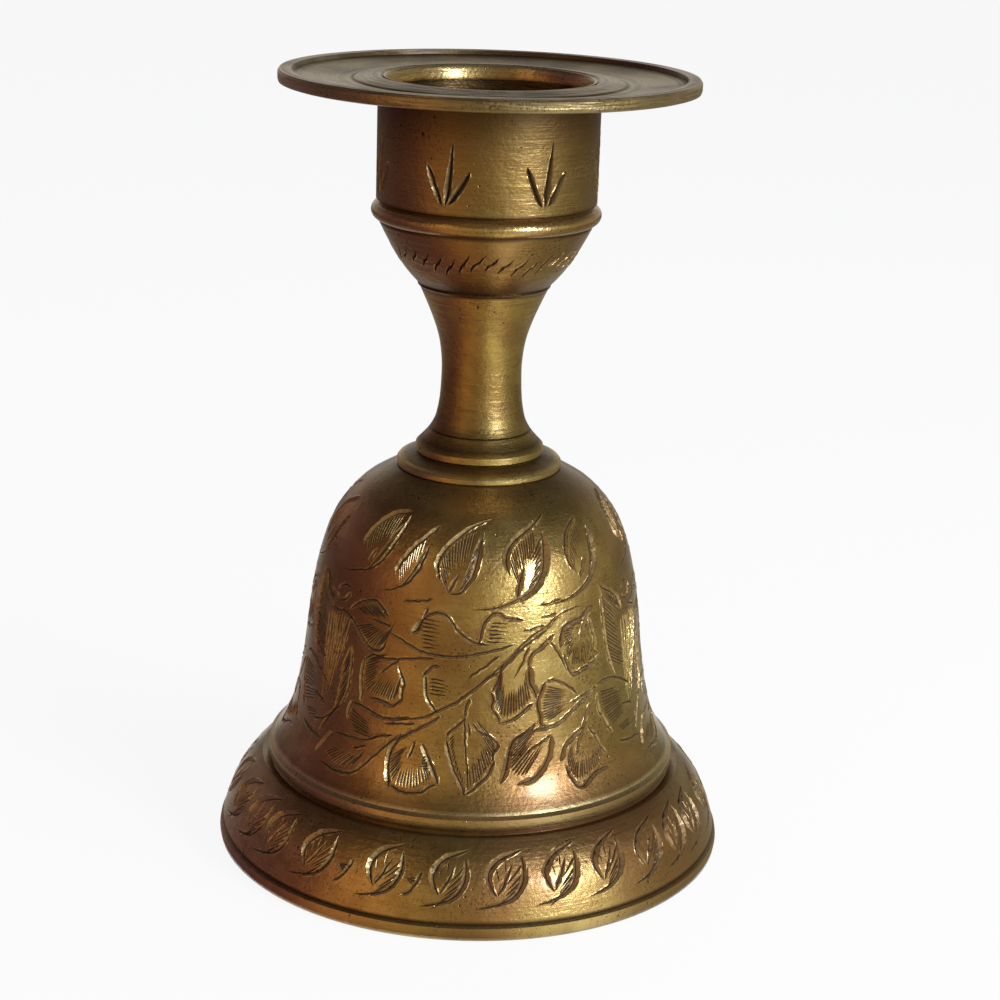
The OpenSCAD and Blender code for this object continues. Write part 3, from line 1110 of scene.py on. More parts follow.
def small_leaf(g: Graver, middle: float, lift: float) -> None:
    """Engraves one leaf of the border on the lip, each a little different.

    Args:
        g: The graver.
        middle: The angle of its middle.
        lift: How far it is raised.
    """
    lean, tip = g.hand.uniform(-0.5, 0.5), g.hand.uniform(0.9, 1.06)

    def at(*line: Point) -> Line:
        """Moves and leans a line of the leaf."""
        return tuple((middle + x * tip + lean * (z - 6) / 4, z + lift) for x, z in line)

    left = (
        (5.2, 9.2), (2.3, 8.85), (-0.4, 8.5), (-2.4, 7.9), (-3.6, 7.1), (-3.6, 6.3), (-2.8, 5.4), (-2, 4.8),
    )
    right = ((4.1, 8.7), (4.3, 7.6), (4, 6.6), (3.3, 5.8), (2, 5), (0, 4.4), (-3, 3.95), (-7, 3.6))
    g.cut(*at(*left), width=0.95, lead=0.4, tail=0.35)
    g.cut(*at(*right), width=0.9, lead=0.25, tail=0.65)
    g.cut(*at((-2.1, 4.9), (-0.5, 6.1), (1, 7.3), (1.9, 8.1)), width=0.5, lead=0.25, tail=0.6)
    low = at((3.9, 8.2), (4, 7.3), (3.4, 6.3), (2.2, 5.5), (0.8, 4.9))
    g.fan(low, (middle - 12, 0.5), 2.3, 0.7, 0.3)
    g.fan(at((1.6, 8.5), (-1, 8.1), (-2.8, 7.2)), (middle - 0.8, 4.5), 1.2, 1.0, 0.2)


def lip_leaves(g: Graver) -> None:
    """Engraves the border of small leaves on the lip.

    Args:
        g: The graver of the lip.
    """
    for middle, lift in (
        (-51, 0.0), (-37, 0.0), (-19, 0.1), (-4, 0.0), (9, 0.0), (22, 0.1), (34.5, 0.2), (47.5, 0.05),
        (58.8, 0.1),
    ):
        small_leaf(g, middle, lift)
    for x in (-10.2, -26.9):
        g.cut((x, 7.2), (x - 0.8, 6.2), (x - 2.1, 5.2), (x - 4.4, 4.4), width=0.55)
        g.fan(((x - 0.7, 6.6), (x - 1.8, 5.5)), (x - 3.8, 6.4), 0.9, 0.4, 0.3)


@dataclass
class Bell:
    """The cast bell: lip, turned ring, waist and dome, hollow from below.

    The two outlines of the ring are given from its radius outward.
    """

    lip_r: float = 30.0
    widest_z: float = 1.0
    foot_taper: float = 0.1
    foot_edge: float = 0.3
    groove_z: Point = (1.6, 1.9)
    groove_d: float = 0.4
    ring_r: float = 24.1
    ring_foot: Line = ((-0.2, 9.95), (-0.6, 10.3), (-0.1, 10.6))
    ring_face: Line = ((-0.1, 10.6), (0.05, 10.75), (0.0, 11.8))
    crown_z: float = 45.9
    bore_r: float = 2.7
    lip_row: float = 0.9
    waist_row: float = 1.0
    lip_curve: Line = ((29.6, 2.4), (29.1, 4), (28.3, 6), (27, 8), (25.9, 9.2), (24.9, 10.1))
    waist_curve: Line = (
        (23.6, 12.1), (22.4, 14), (21.5, 16), (20.95, 18), (20.5, 20.2), (19.9, 24), (19.45, 28),
        (18.9, 32), (18, 36), (16.95, 39), (15.8, 41), (14.1, 43), (12.6, 44.2), (9.6, 45.9),
    )
    inside_curve: Line = (
        (27.4, 0), (27.2, 1.6), (26.5, 4.6), (25.1, 7.1), (23, 9.2), (21.3, 11.5), (20.1, 14),
        (19.2, 17), (18.5, 21), (17.9, 26), (17.3, 31), (16.3, 35.5), (14.6, 39), (12.2, 41.7),
        (8.5, 43.4), (6, 43.8),
    )

    def sector(self) -> Sector:
        """Builds a third of the bell, with one spray of leaves.

        Returns:
            The sector.
        """
        made = Sector(span=120.0, start=-60.0)
        foot_r, (groove_low, groove_high) = self.lip_r - self.foot_taper, self.groove_z
        face_r = foot_r - self.foot_edge
        made.corner_run(self.inside_curve[0], (face_r, 0))
        made.plain(Outline([
            (face_r, 0), (foot_r, self.foot_edge), (self.lip_r, self.widest_z), (foot_r, groove_low),
        ]))
        made.corner_run((foot_r, groove_low), (foot_r - self.groove_d, groove_high), self.lip_curve[0])
        lip, waist = Graver(seed=11), Graver(seed=23)
        lip_leaves(lip)
        for part in (upper_leaves, branch, left_leaves, right_leaves, flower):
            part(waist)
        made.engraved(Outline(smooth(self.lip_curve, 4)), lip.cuts, self.lip_row)
        foot, face = (
            [(self.ring_r + out, z) for out, z in line] for line in (self.ring_foot, self.ring_face)
        )
        made.corner_run(self.lip_curve[-1], *foot)
        made.plain(Outline(face))
        made.corner_run(face[-1], self.waist_curve[0])
        made.engraved(Outline(smooth(self.waist_curve, 4)), waist.cuts, self.waist_row)
        bore, ceiling = self.bore_r, self.inside_curve[-1]
        made.corner_run(self.waist_curve[-1], (bore, self.crown_z), (bore, ceiling[1]), ceiling)
        made.plain(Outline(smooth(self.inside_curve, 2)[::-1]))
        return made

    def build(self, tree: bpy.types.NodeTree, finish: bpy.types.Material) -> bpy.types.Object:
        """Makes the bell in its place.

        Args:
            tree: The nodes that repeat a sector.
            finish: The material.

        Returns:
            The piece.
        """
        piece = turned_piece("engraved_bell", self.sector(), tree, finish)
        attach(piece, "candlestick")
        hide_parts("bell")
        return piece


@dataclass
class CandleCup:
    """The candle cup: bowl with a border of ticks, bead, and socket with arrow marks.

    The spun edge and the mouth are given from their radius outward and from the rim downward, and
    bead_ends are the heights of the ends of the bead and of the foot of the wall, from its middle.
    """

    joint_z: float = 67.3
    joint_r: float = 7.4
    socket_r: float = 11.2
    floor_z: float = 73.5
    wall_r: float = 12.4
    bead_r: float = 12.95
    bead_z: float = 75.45
    pan_z: float = 89.0
    rim_z: float = 90.9
    rivet_r: float = 11.75
    stud_r: float = 2.45
    stud_hole: float = 4.5
    marks: int = 7
    first_mark: float = -20.2
    bead_round: float = 0.95
    bead_half_turn: float = 75.0
    bead_ends: tuple[float, float, float] = (-1.0, 1.05, 1.35)
    shoulder: float = 0.05
    bowl_row: float = 1.0
    wall_row: float = 1.6
    bowl_curve: Line = ((7.75, 67.6), (9, 69), (10.35, 71), (11.45, 73), (12, 74.1))
    ticks: Line = ((70.5, 72.3), (70.2, 72.2), (69.8, 72.3), (69.5, 72.0), (69.9, 72.6), (70.3, 72.7))
    tick_bends: Line = ((0.28, 0.36), (0.66, 0.62))
    tick_stray: float = 0.6
    spun_edge: Line = ((0.0, 0.75), (0.12, 0.65), (-0.06, 0.6))
    mouth: Line = ((0.36, 0.66), (0.27, 1.0), (0.13, 1.4), (0.03, 1.75), (0.0, 2.1))

    def sector(self) -> Sector:
        """Builds a seventh of the cup, with one arrow mark and six ticks on the bowl.

        Returns:
            The sector.
        """
        span = 360 / self.marks
        made = Sector(span, self.first_mark - span / 2, span / 20)
        r, bowl_r = self.wall_r, self.bowl_curve[-1][0] + self.shoulder
        under, over, wall_foot = (self.bead_z + up for up in self.bead_ends)
        foot, stud_top = self.joint_z, self.joint_z + self.stud_hole
        made.corner_run(
            (0, stud_top), (self.stud_r, stud_top), (self.stud_r, foot), (self.joint_r, foot),
            self.bowl_curve[0],
        )
        ticks, marks = Graver(seed=3), Graver(seed=5)
        self.bowl_ticks(ticks, span / len(self.ticks))
        self.arrow_mark(marks, self.first_mark)
        made.engraved(Outline(smooth(self.bowl_curve, 5)), ticks.cuts, self.bowl_row)
        made.corner_run(self.bowl_curve[-1], (bowl_r, under))
        bead_r, half = self.bead_r - self.bead_round, self.bead_half_turn
        bead = arc(bead_r, self.bead_z, self.bead_round, -half, half, 10)
        made.plain(Outline([(bowl_r, under), *bead, (bowl_r, over)]))
        made.corner_run((bowl_r, over), (r, wall_foot))
        wall = Outline([(r, wall_foot), (r, 80), (r, 84), (r, self.pan_z)])
        made.engraved(wall, marks.cuts, self.wall_row)
        lip = [
            (radius + wider, self.rim_z - lower)
            for radius, line in ((self.rivet_r, self.spun_edge), (self.socket_r, self.mouth))
            for wider, lower in line
        ]
        made.corner_run((r, self.pan_z), (self.rivet_r, self.pan_z), lip[0])
        made.plain(Outline(lip))
        made.corner_run(lip[-1], (self.socket_r, self.floor_z), (0, self.floor_z))
        return made

    def bowl_ticks(self, g: Graver, apart: float) -> None:
        """Engraves the bent ticks of one sector on the bowl.

        Args:
            g: The graver.
            apart: How far apart they start, in degrees.
        """
        for k, (low, high) in enumerate(self.ticks):
            start = apart * (k - 6) - self.tick_stray * (k % 2)
            end = apart * (k - 5) + self.tick_stray * (k % 3)
            bends = ((start + x * (end - start), low + y * (high - low)) for x, y in self.tick_bends)
            g.cut((start, low), *bends, (end, high), width=0.4, lead=0.3, tail=0.5)

    @staticmethod
    def arrow_mark(g: Graver, m: float) -> None:
        """Engraves the three strokes of a mark whose foot is at one angle.

        Args:
            g: The graver.
            m: The angle of its foot.
        """
        g.cut((m - 1, 77.7), (m + 0.6, 80), (m + 2.9, 85.1), width=0.9, lead=0.2, tail=0.75)
        g.cut((m - 2.4, 77.8), (m - 5.6, 79.2), (m - 11.4, 82.3), width=0.72, lead=0.2, tail=0.2)
        g.cut((m + 0.8, 77.9), (m + 5, 79.2), (m + 12, 81.7), width=0.72, lead=0.2, tail=0.2)

    def build(self, tree: bpy.types.NodeTree, finish: bpy.types.Material) -> bpy.types.Object:
        """Makes the cup in its place.

        Args:
            tree: The nodes that repeat a sector.
            finish: The material.

        Returns:
            The piece.
        """
        piece = turned_piece("engraved_candle_cup", self.sector(), tree, finish)
        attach(piece, "candlestick")
        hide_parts("candle_cup")
        return piece


# Finishes

def new_group(
    name: str, inputs: dict[str, tuple[str, float]], outputs: Sequence[str]
) -> tuple[Nodes, Any, Any]:
    """Starts a shader node group.

    Args:
        name: The group's name.
        inputs: Each input's kind and first value.
        outputs: The names of its outputs, which are all plain values.

    Returns:
        The helper of its tree, the sockets of its inputs and those of its outputs.
    """
    tree = bpy.data.node_groups.new(name, "ShaderNodeTree")
    for label, (kind, value) in inputs.items():
        made = tree.interface.new_socket(label, in_out="INPUT", socket_type=f"NodeSocket{kind}")
        if kind == "Float":
            made.default_value = value
    for label in outputs:
        tree.interface.new_socket(label, in_out="OUTPUT", socket_type="NodeSocketFloat")
    s = Nodes(tree)
    return s, s.add("NodeGroupInput").outputs, s.add("NodeGroupOutput").inputs


@dataclass
class Effects:
    """The shader groups that the finishes share.

    Tarnish lies in the lines of the lathe between the two values of worn, and twist sets how long
    they run round the axis. Specks gather in clusters and have a soft rim. The line at the bottom
    of a cut is full within thread, in millimetres, and the gains turn the depth of a cut or the
    height of its edge, in millimetres, into a strength.
    """

    worn: Point = (0.52, 0.72)
    twist: float = 1.3
    cluster: float = 160.0
    rim: float = 0.6
    thread: float = 0.015
    line_gain: float = 30.0
    wall_gain: float = 14.0
    edge_gain: float = 22.0

    def __post_init__(self) -> None:
        """Builds each group once."""
        self.clouds = self.patina_clouds()
        self.lathe = self.lathe_lines()
        self.specks = self.dark_specks()
        self.dirt = self.graver_dirt()

    @staticmethod
    def patina_clouds() -> bpy.types.NodeTree:
        """Builds soft patches of tarnish.

        Returns:
            The group.
        """
        inputs = {
            "Vector": ("Vector", 0), "Size": ("Float", 60.0), "Cover": ("Float", 0.5),
            "Softness": ("Float", 0.2),
        }
        s, start, end = new_group("patina clouds", inputs, ("Mask",))
        cloud = s.noise(start["Vector"], start["Size"], detail=6.0, roughness=0.62)
        low = s.minus(start["Cover"], start["Softness"])
        high = s.plus(start["Cover"], start["Softness"])
        s.link(s.step(cloud, low, high), end["Mask"])
        return s.tree

    def lathe_lines(self) -> bpy.types.NodeTree:
        """Builds the fine rings that the turning tool left round the axis.

        Returns:
            The group.
        """
        inputs = {"Vector": ("Vector", 0), "Pitch": ("Float", 2500.0)}
        s, start, end = new_group("lathe lines", inputs, ("Height", "Mask"))
        part = s.add("ShaderNodeSeparateXYZ", {0: start["Vector"]}).outputs
        place = s.add("ShaderNodeCombineXYZ", {
            0: s.times(from_axis(s, part), start["Pitch"]),
            1: s.times(part[2], start["Pitch"]),
            2: s.times(s.math("ARCTAN2", part[0], part[1]), self.twist),
        })
        fine = s.noise(place.outputs[0], size=1.0, detail=3.0, roughness=0.7)
        s.link(fine, end["Height"])
        s.link(s.step(fine, *self.worn), end["Mask"])
        return s.tree

    def dark_specks(self) -> bpy.types.NodeTree:
        """Builds scattered dark pits and spots.

        Returns:
            The group.
        """
        inputs = {"Vector": ("Vector", 0), "Size": ("Float", 700.0), "Amount": ("Float", 0.5)}
        s, start, end = new_group("dark specks", inputs, ("Mask",))
        scattered = {"Vector": start["Vector"], "Scale": start["Size"], "Randomness": 1.0}
        cells = s.add("ShaderNodeTexVoronoi", scattered).outputs["Distance"]
        where = s.noise(start["Vector"], self.cluster, detail=3.0)
        reach = s.times(s.times(where, where), start["Amount"])
        s.link(s.step(cells, reach, s.times(reach, self.rim), soft=False), end["Mask"])
        return s.tree

    def graver_dirt(self) -> bpy.types.NodeTree:
        """Builds the masks of the dark line and the walls of the cuts, which take dirt, dust and, on the cup,
        painted shade, and the mask of the worn metal of their raised edges.

        Returns:
            The group.
        """
        s, start, end = new_group("graver dirt", {"Line Width": ("Float", 0.1)}, ("Line", "Wall", "Rubbed"))
        depth = s.add("ShaderNodeAttribute", attribute_name="cut_depth").outputs["Fac"]
        away = s.add("ShaderNodeAttribute", attribute_name="cut_line").outputs["Fac"]
        line = s.step(away, start["Line Width"], self.thread)
        s.link(s.times(line, s.times(depth, -self.line_gain, clamp=True)), end["Line"])
        s.link(s.times(depth, -self.wall_gain, clamp=True), end["Wall"])
        s.link(s.times(depth, self.edge_gain, clamp=True), end["Rubbed"])
        return s.tree


def from_axis(s: Nodes, part: Any) -> bpy.types.NodeSocket:
    """Gives the distance from the axis of a place in three parts."""
    return s.math("SQRT", s.plus(s.math("POWER", part[0], 2.0), s.math("POWER", part[1], 2.0)))


class Reach(Enum):
    """What the bands of a finish are measured along."""

    HEIGHT = "height above the table"
    RADIUS = "distance from the axis"


@dataclass(frozen=True)
class OldBrass:
    """Old brass: its clean and tarnished colours, how strongly each kind of wear shows, and where shade,
    highlights and a sheen are painted.

    The bands of dirt and painted shade and those of worn metal and painted highlights are pairs of a place in
    millimetres and a strength. The painted sheen is a pale grey laid on the left and right of a piece as a
    painted reflection; its parts are its even share, its share in patches and that in the lathe lines. Each
    rough layer has a scale, a detail, a strength and a depth in units of fine_relief, in metres.
    """

    name: str
    clean: Colour = (0.65, 0.475, 0.18)
    brown: Colour = (0.4, 0.245, 0.085)
    grime_and_shade: Colour = (0.06, 0.032, 0.02)
    rubbed_and_highlight: Colour = (0.86, 0.7, 0.4)
    dust_shade_and_sheen: Colour = (0.42, 0.29, 0.16)
    ruddy: Colour = (0.42, 0.19, 0.09)
    bare: float = 0.94
    cover: float = 0.5
    patch: float = 55.0
    roughness: float = 0.25
    soiled: float = 0.1
    lines: float = 0.5
    pitch: float = 2600.0
    specks: float = 0.35
    pits: float = 0.9
    turning: float = 0.35
    coat: float = 0.2
    coat_roughness: float = 0.22
    painted_side_sheen: float = 0.0
    reach: Reach = Reach.HEIGHT
    first: float = 0.0
    last: float = 91.0
    dirt_and_shade_bands: tuple[Point, ...] = ((0.0, 0.0), (91.0, 0.0))
    wear_and_highlight_bands: tuple[Point, ...] = ((0.0, 0.0), (91.0, 0.0))

    fine_relief: float = 0.0001
    rough_layers: tuple[tuple[float, ...], ...] = ((420.0, 4.0, 0.22, 4.0), (2600.0, 2.0, 0.36, 1.0))
    pit_relief: float = 0.5
    soil_in_cuts: float = 0.8
    dull_in_cuts: float = 0.14
    dull_tarnish: float = 0.12
    dull_lines: float = 0.1
    coat_ior: float = 1.65
    painted_sheen_parts: tuple[float, float, float] = (0.3, 0.3, 0.4)

    def band(self, s: Nodes, place: Any, stops: tuple[Point, ...]) -> bpy.types.NodeSocket:
        """Gives the strength of a row of bands at a place along the piece."""
        share = s.step(place, self.first * MM, self.last * MM, soft=False)
        return s.ramp(share, [((p - self.first) / (self.last - self.first), v) for p, v in stops])

    def relief(self, s: Nodes, vector: Any, lathe: Any, specks: Any) -> bpy.types.NodeSocket:
        """Adds the fine relief: uneven metal, grain, the lines of the lathe, and pits.

        Args:
            s: The helper of the material's tree.
            vector: The place.
            lathe: The height of the lathe lines.
            specks: The mask of the pits.

        Returns:
            The normal's socket.
        """
        fine, under = self.fine_relief, None
        for size, detail, strength, depth in self.rough_layers:
            under = s.bump(s.noise(vector, size, detail), strength, depth * fine, under)
        lined = s.bump(lathe, min(self.turning, 1.0), fine * max(self.turning, 1.0), under)
        return s.bump(specks, self.pit_relief, fine, lined, invert=True)

    def build(self, effects: Effects) -> bpy.types.Material:
        """Makes the material.

        Args:
            effects: The shared shader groups.

        Returns:
            The material.
        """
        made = bpy.data.materials.new(self.name)
        made.diffuse_color = (*self.clean, 1.0)
        s = emptied(made)
        vector = s.add("ShaderNodeTexCoord").outputs["Object"]
        part = s.add("ShaderNodeSeparateXYZ", {0: vector}).outputs
        place = from_axis(s, part) if self.reach is Reach.RADIUS else part[2]
        clouds, small, red = (
            s.group(effects.clouds, Vector=vector, Size=self.patch * size, Cover=cover, Softness=edge)["Mask"]
            for size, cover, edge in ((1.0, 1 - self.cover, 0.12), (7.0, 0.53, 0.1), (0.6, 0.56, 0.1))
        )
        specks, pits = (
            s.group(effects.specks, Vector=vector, Size=size, Amount=amount)["Mask"]
            for size, amount in ((650.0, self.specks), (2600.0, self.pits))
        )
        lathe = s.group(effects.lathe, Vector=vector, Pitch=self.pitch)
        dirt = s.group(effects.dirt, **{"Line Width": self.soiled})
        wall = dirt["Wall"]
        # Dirt in the line of the cuts, and bands of dirt and painted shade, darker under overhangs and at
        # joints.
        soil_and_shade = s.plus(s.times(dirt["Line"], self.soil_in_cuts), self.band(s, place, self.dirt_and_shade_bands), clamp=True)
        colour = self.clean
        for amount, strength, shade in (
            (clouds, 1.0, self.brown),
            (small, 0.5, self.brown),
            (lathe["Mask"], self.lines, self.brown),
            (red, 0.6, self.ruddy),
            # Painted highlights: pale lines on edges where a lamp glints, with some real wear.
            (self.band(s, place, self.wear_and_highlight_bands), 1.0, self.rubbed_and_highlight),
            # Dust in the walls of the cuts; where it is dark, as on the cup, it is painted shade in place of
            # their reflections.
            (wall, 0.7, self.dust_shade_and_sheen),
            (soil_and_shade, 1.0, self.grime_and_shade),
            (pits, 0.65, self.grime_and_shade),
            (specks, 0.85, self.grime_and_shade),
            (dirt["Rubbed"], 0.6, self.rubbed_and_highlight),
        ):
            colour = s.blend(s.times(amount, strength), colour, shade)
        rough = s.plus(s.times(clouds, self.dull_tarnish), s.times(lathe["Height"], self.dull_lines))
        rough = s.plus(rough, s.times(s.math("MAXIMUM", soil_and_shade, wall), self.dull_in_cuts))
        rough = s.plus(rough, self.roughness - self.dull_lines / 2, clamp=True)
        bare = s.minus(self.bare, s.times(wall, self.dull_in_cuts))
        # Painted reflection: a pale grey sheen on the left and right of the piece, stronger in patches and
        # lathe lines.
        if self.painted_side_sheen:
            side = s.minus(s.over(s.math("ABSOLUTE", part[0]), place), 0.5)
            even, patches, lines = self.painted_sheen_parts
            patchy = s.plus(s.plus(s.times(small, patches), even), s.times(lathe["Mask"], lines))
            painted_side_sheen = s.times(s.times(side, 2 * self.painted_side_sheen, clamp=True), patchy)
            colour = s.blend(painted_side_sheen, colour, self.dust_shade_and_sheen)
            bare = s.minus(bare, s.times(painted_side_sheen, 0.5))
        metal = s.add("ShaderNodeBsdfPrincipled", {
            "Base Color": colour, "Roughness": rough, "Metallic": bare,
            "Normal": self.relief(s, vector, lathe["Height"], specks),
            "Coat Weight": self.coat, "Coat Roughness": self.coat_roughness, "Coat IOR": self.coat_ior,
        })
        s.add("ShaderNodeOutputMaterial", {0: metal.outputs[0]})
        return made


# The bell's bands darken its foot, its groove, the lip under the ring and the dome under the collar, as dirt
# and painted shade, and lighten the edges of the ring as painted highlights.
BELL_BRASS = OldBrass(
    "old engraved brass", first=0.0, last=48.0, coat=0.5, coat_roughness=0.17,
    dirt_and_shade_bands=(
        (0.0, 0.5), (1.6, 0.1), (1.8, 0.85), (2.0, 0.85), (2.2, 0.1), (7.4, 0.1), (9.0, 0.25), (9.8, 0.4),
        (10.2, 0.6), (10.55, 0.1), (12.15, 0.1), (12.6, 0.45), (13.2, 0.25), (14.6, 0.05), (42.0, 0.0),
        (44.0, 0.2), (46.0, 0.6),
    ),
    wear_and_highlight_bands=(
        (0.0, 0.0), (1.0, 0.1), (1.5, 0.1), (2.0, 0.0), (10.5, 0.0), (10.8, 0.6), (11.4, 0.3), (11.9, 0.3),
        (12.2, 0.8), (12.5, 0.0),
    ),
)
# The cup's clean colour is darker than the bell's, and the walls of its cuts are dark, as painted shade; its
# bands darken the joint with the stem, the sides of the bead and the wall under the drip pan, as dirt and
# painted shadow, and lighten the bead and the mouth as painted highlights.
CUP_BRASS = OldBrass(
    "old turned brass of the cup, darkened as painted shade", clean=(0.54, 0.37, 0.13), dust_shade_and_sheen=(0.13, 0.085, 0.05), first=67.0,
    soiled=0.26, pits=0.75, roughness=0.23, lines=0.9, pitch=1900.0, turning=0.6,
    dirt_and_shade_bands=(
        (67.3, 0.9), (67.8, 0.65), (68.6, 0.4), (69.6, 0.12), (74.0, 0.2), (74.4, 0.9), (74.8, 0.0),
        (76.3, 0.0), (76.7, 0.9), (77.1, 0.2), (81.0, 0.14), (84.0, 0.35), (86.5, 0.65), (88.7, 0.85),
        (89.0, 0.1),
    ),
    wear_and_highlight_bands=((74.6, 0.0), (75.0, 0.1), (75.8, 0.2), (76.3, 0.1), (89.0, 0.0), (89.3, 0.3), (90.0, 0.6)),
)
# The stem's bands darken the top of the collar, the crease under the bead, the flare of the foot and the
# joint with the cup, as dirt and painted shade, and lighten the collar and the bead as painted highlights.
STEM_BRASS = OldBrass(
    "old turned brass of the stem", clean=(0.66, 0.475, 0.15), first=45.5, last=68.0, cover=0.42,
    specks=0.4, pits=0.75, roughness=0.31, lines=0.95, pitch=1900.0, turning=0.7,
    dirt_and_shade_bands=(
        (45.9, 0.7), (46.1, 0.1), (46.9, 0.05), (47.1, 0.6), (47.5, 0.9), (47.65, 0.1), (48.4, 0.1),
        (48.7, 0.5), (49.05, 0.85), (49.6, 0.6), (50.1, 0.4), (50.3, 0.9), (50.45, 0.6), (52.0, 0.5),
        (54.5, 0.3), (57.5, 0.08), (66.6, 0.05), (66.95, 0.8), (67.3, 0.6),
    ),
    wear_and_highlight_bands=(
        (45.9, 0.0), (46.2, 0.25), (46.7, 0.35), (47.0, 0.0), (47.7, 0.1), (48.2, 0.25), (48.6, 0.05),
        (49.0, 0.0),
    ),
)
# The pan's bands are dark and pale turned rings, dirt and painted shade and painted highlights, and its
# painted sheen greys its left and right as a painted reflection.
PAN_BRASS = OldBrass(
    "grey-brown tarnished brass with painted sheen", clean=(0.46, 0.33, 0.14), brown=(0.2, 0.13, 0.055),
    rubbed_and_highlight=(0.75, 0.66, 0.46), dust_shade_and_sheen=(0.55, 0.47, 0.34), cover=0.45, roughness=0.3, pitch=620.0,
    lines=0.9, turning=3.0, painted_side_sheen=0.5, reach=Reach.RADIUS, first=11.0, last=24.0,
    dirt_and_shade_bands=(
        (11.6, 0.2), (11.9, 0.9), (12.15, 0.1), (12.9, 0.5), (13.1, 0.0), (14.9, 0.1), (15.25, 0.75),
        (15.6, 0.05), (16.6, 0.3), (16.8, 0.0), (20.6, 0.05), (20.9, 0.5), (21.1, 0.1), (21.35, 0.9),
        (21.85, 0.8), (22.0, 0.1), (22.9, 0.35), (23.1, 0.0), (23.6, 0.4),
    ),
    wear_and_highlight_bands=(
        (12.2, 0.5), (12.7, 0.2), (13.5, 0.1), (14.9, 0.3), (15.2, 0.0), (15.7, 0.3), (16.1, 0.0),
        (21.0, 0.0), (22.1, 0.25), (22.5, 0.05), (23.1, 0.1), (23.3, 0.35), (23.5, 0.0),
    ),
)
CLAPPER_BRASS = OldBrass(
    "dull cast brass", clean=(0.42, 0.3, 0.12), cover=0.6, roughness=0.45, lines=0.1, specks=0.5
)
HIDDEN_STEEL = OldBrass(
    "dark oxidised steel", clean=(0.22, 0.2, 0.18), brown=(0.12, 0.08, 0.06), rubbed_and_highlight=(0.4, 0.38, 0.35),
    roughness=0.45, lines=0.2, specks=0.5,
)
FINISHES = {
    "collar": STEM_BRASS, "stem": STEM_BRASS, "drip_pan": PAN_BRASS, "clapper": CLAPPER_BRASS,
    "clapper_link": HIDDEN_STEEL, "tie_stud": HIDDEN_STEEL, "washer": HIDDEN_STEEL, "nut": HIDDEN_STEEL,
}


# Studio

@dataclass(frozen=True)
class Lamp:
    """One soft lamp that faces the object.

    Its place is an angle round the object, an angle above the table and a distance in
    millimetres; its size is in millimetres and its power in watts.
    """

    name: str
    turn: float
    rise: float
    away: float
    size: Point
    power: float
    colour: Colour
    mirrored: bool = True
    aim_mm: float = 40.0

    def hang(self) -> None:
        """Puts the lamp in the scene."""
        light = bpy.data.lights.new(self.name, "AREA")
        light.shape = "RECTANGLE"
        light.size, light.size_y = self.size[0] * MM, self.size[1] * MM
        light.energy, light.color = self.power, self.colour
        a, e = math.radians(self.turn), math.radians(self.rise)
        back = Vector((math.sin(a) * math.cos(e), -math.cos(a) * math.cos(e), math.sin(e)))
        spot = Matrix.Translation(back * self.away * MM + Vector((0, 0, self.aim_mm * MM)))
        lamp = placed(self.name, light)
        lamp.matrix_world = spot @ back.to_track_quat("Z", "Y").to_matrix().to_4x4()
        lamp.visible_camera = False
        lamp.visible_glossy = self.mirrored


LAMPS = (
    Lamp("window", 44, 20, 480, (135, 135), 1.0, (0.84, 0.92, 1.0)),
    Lamp("warm_fill", -44, 30, 520, (120, 260), 0.05, (1.0, 0.66, 0.32)),
    Lamp("top_fill", 160, 70, 600, (300, 300), 0.35, (1.0, 1.0, 1.0), mirrored=False),
    Lamp("side_fill", 62, 34, 500, (220, 220), 1.3, (1.0, 0.96, 0.88), mirrored=False),
)


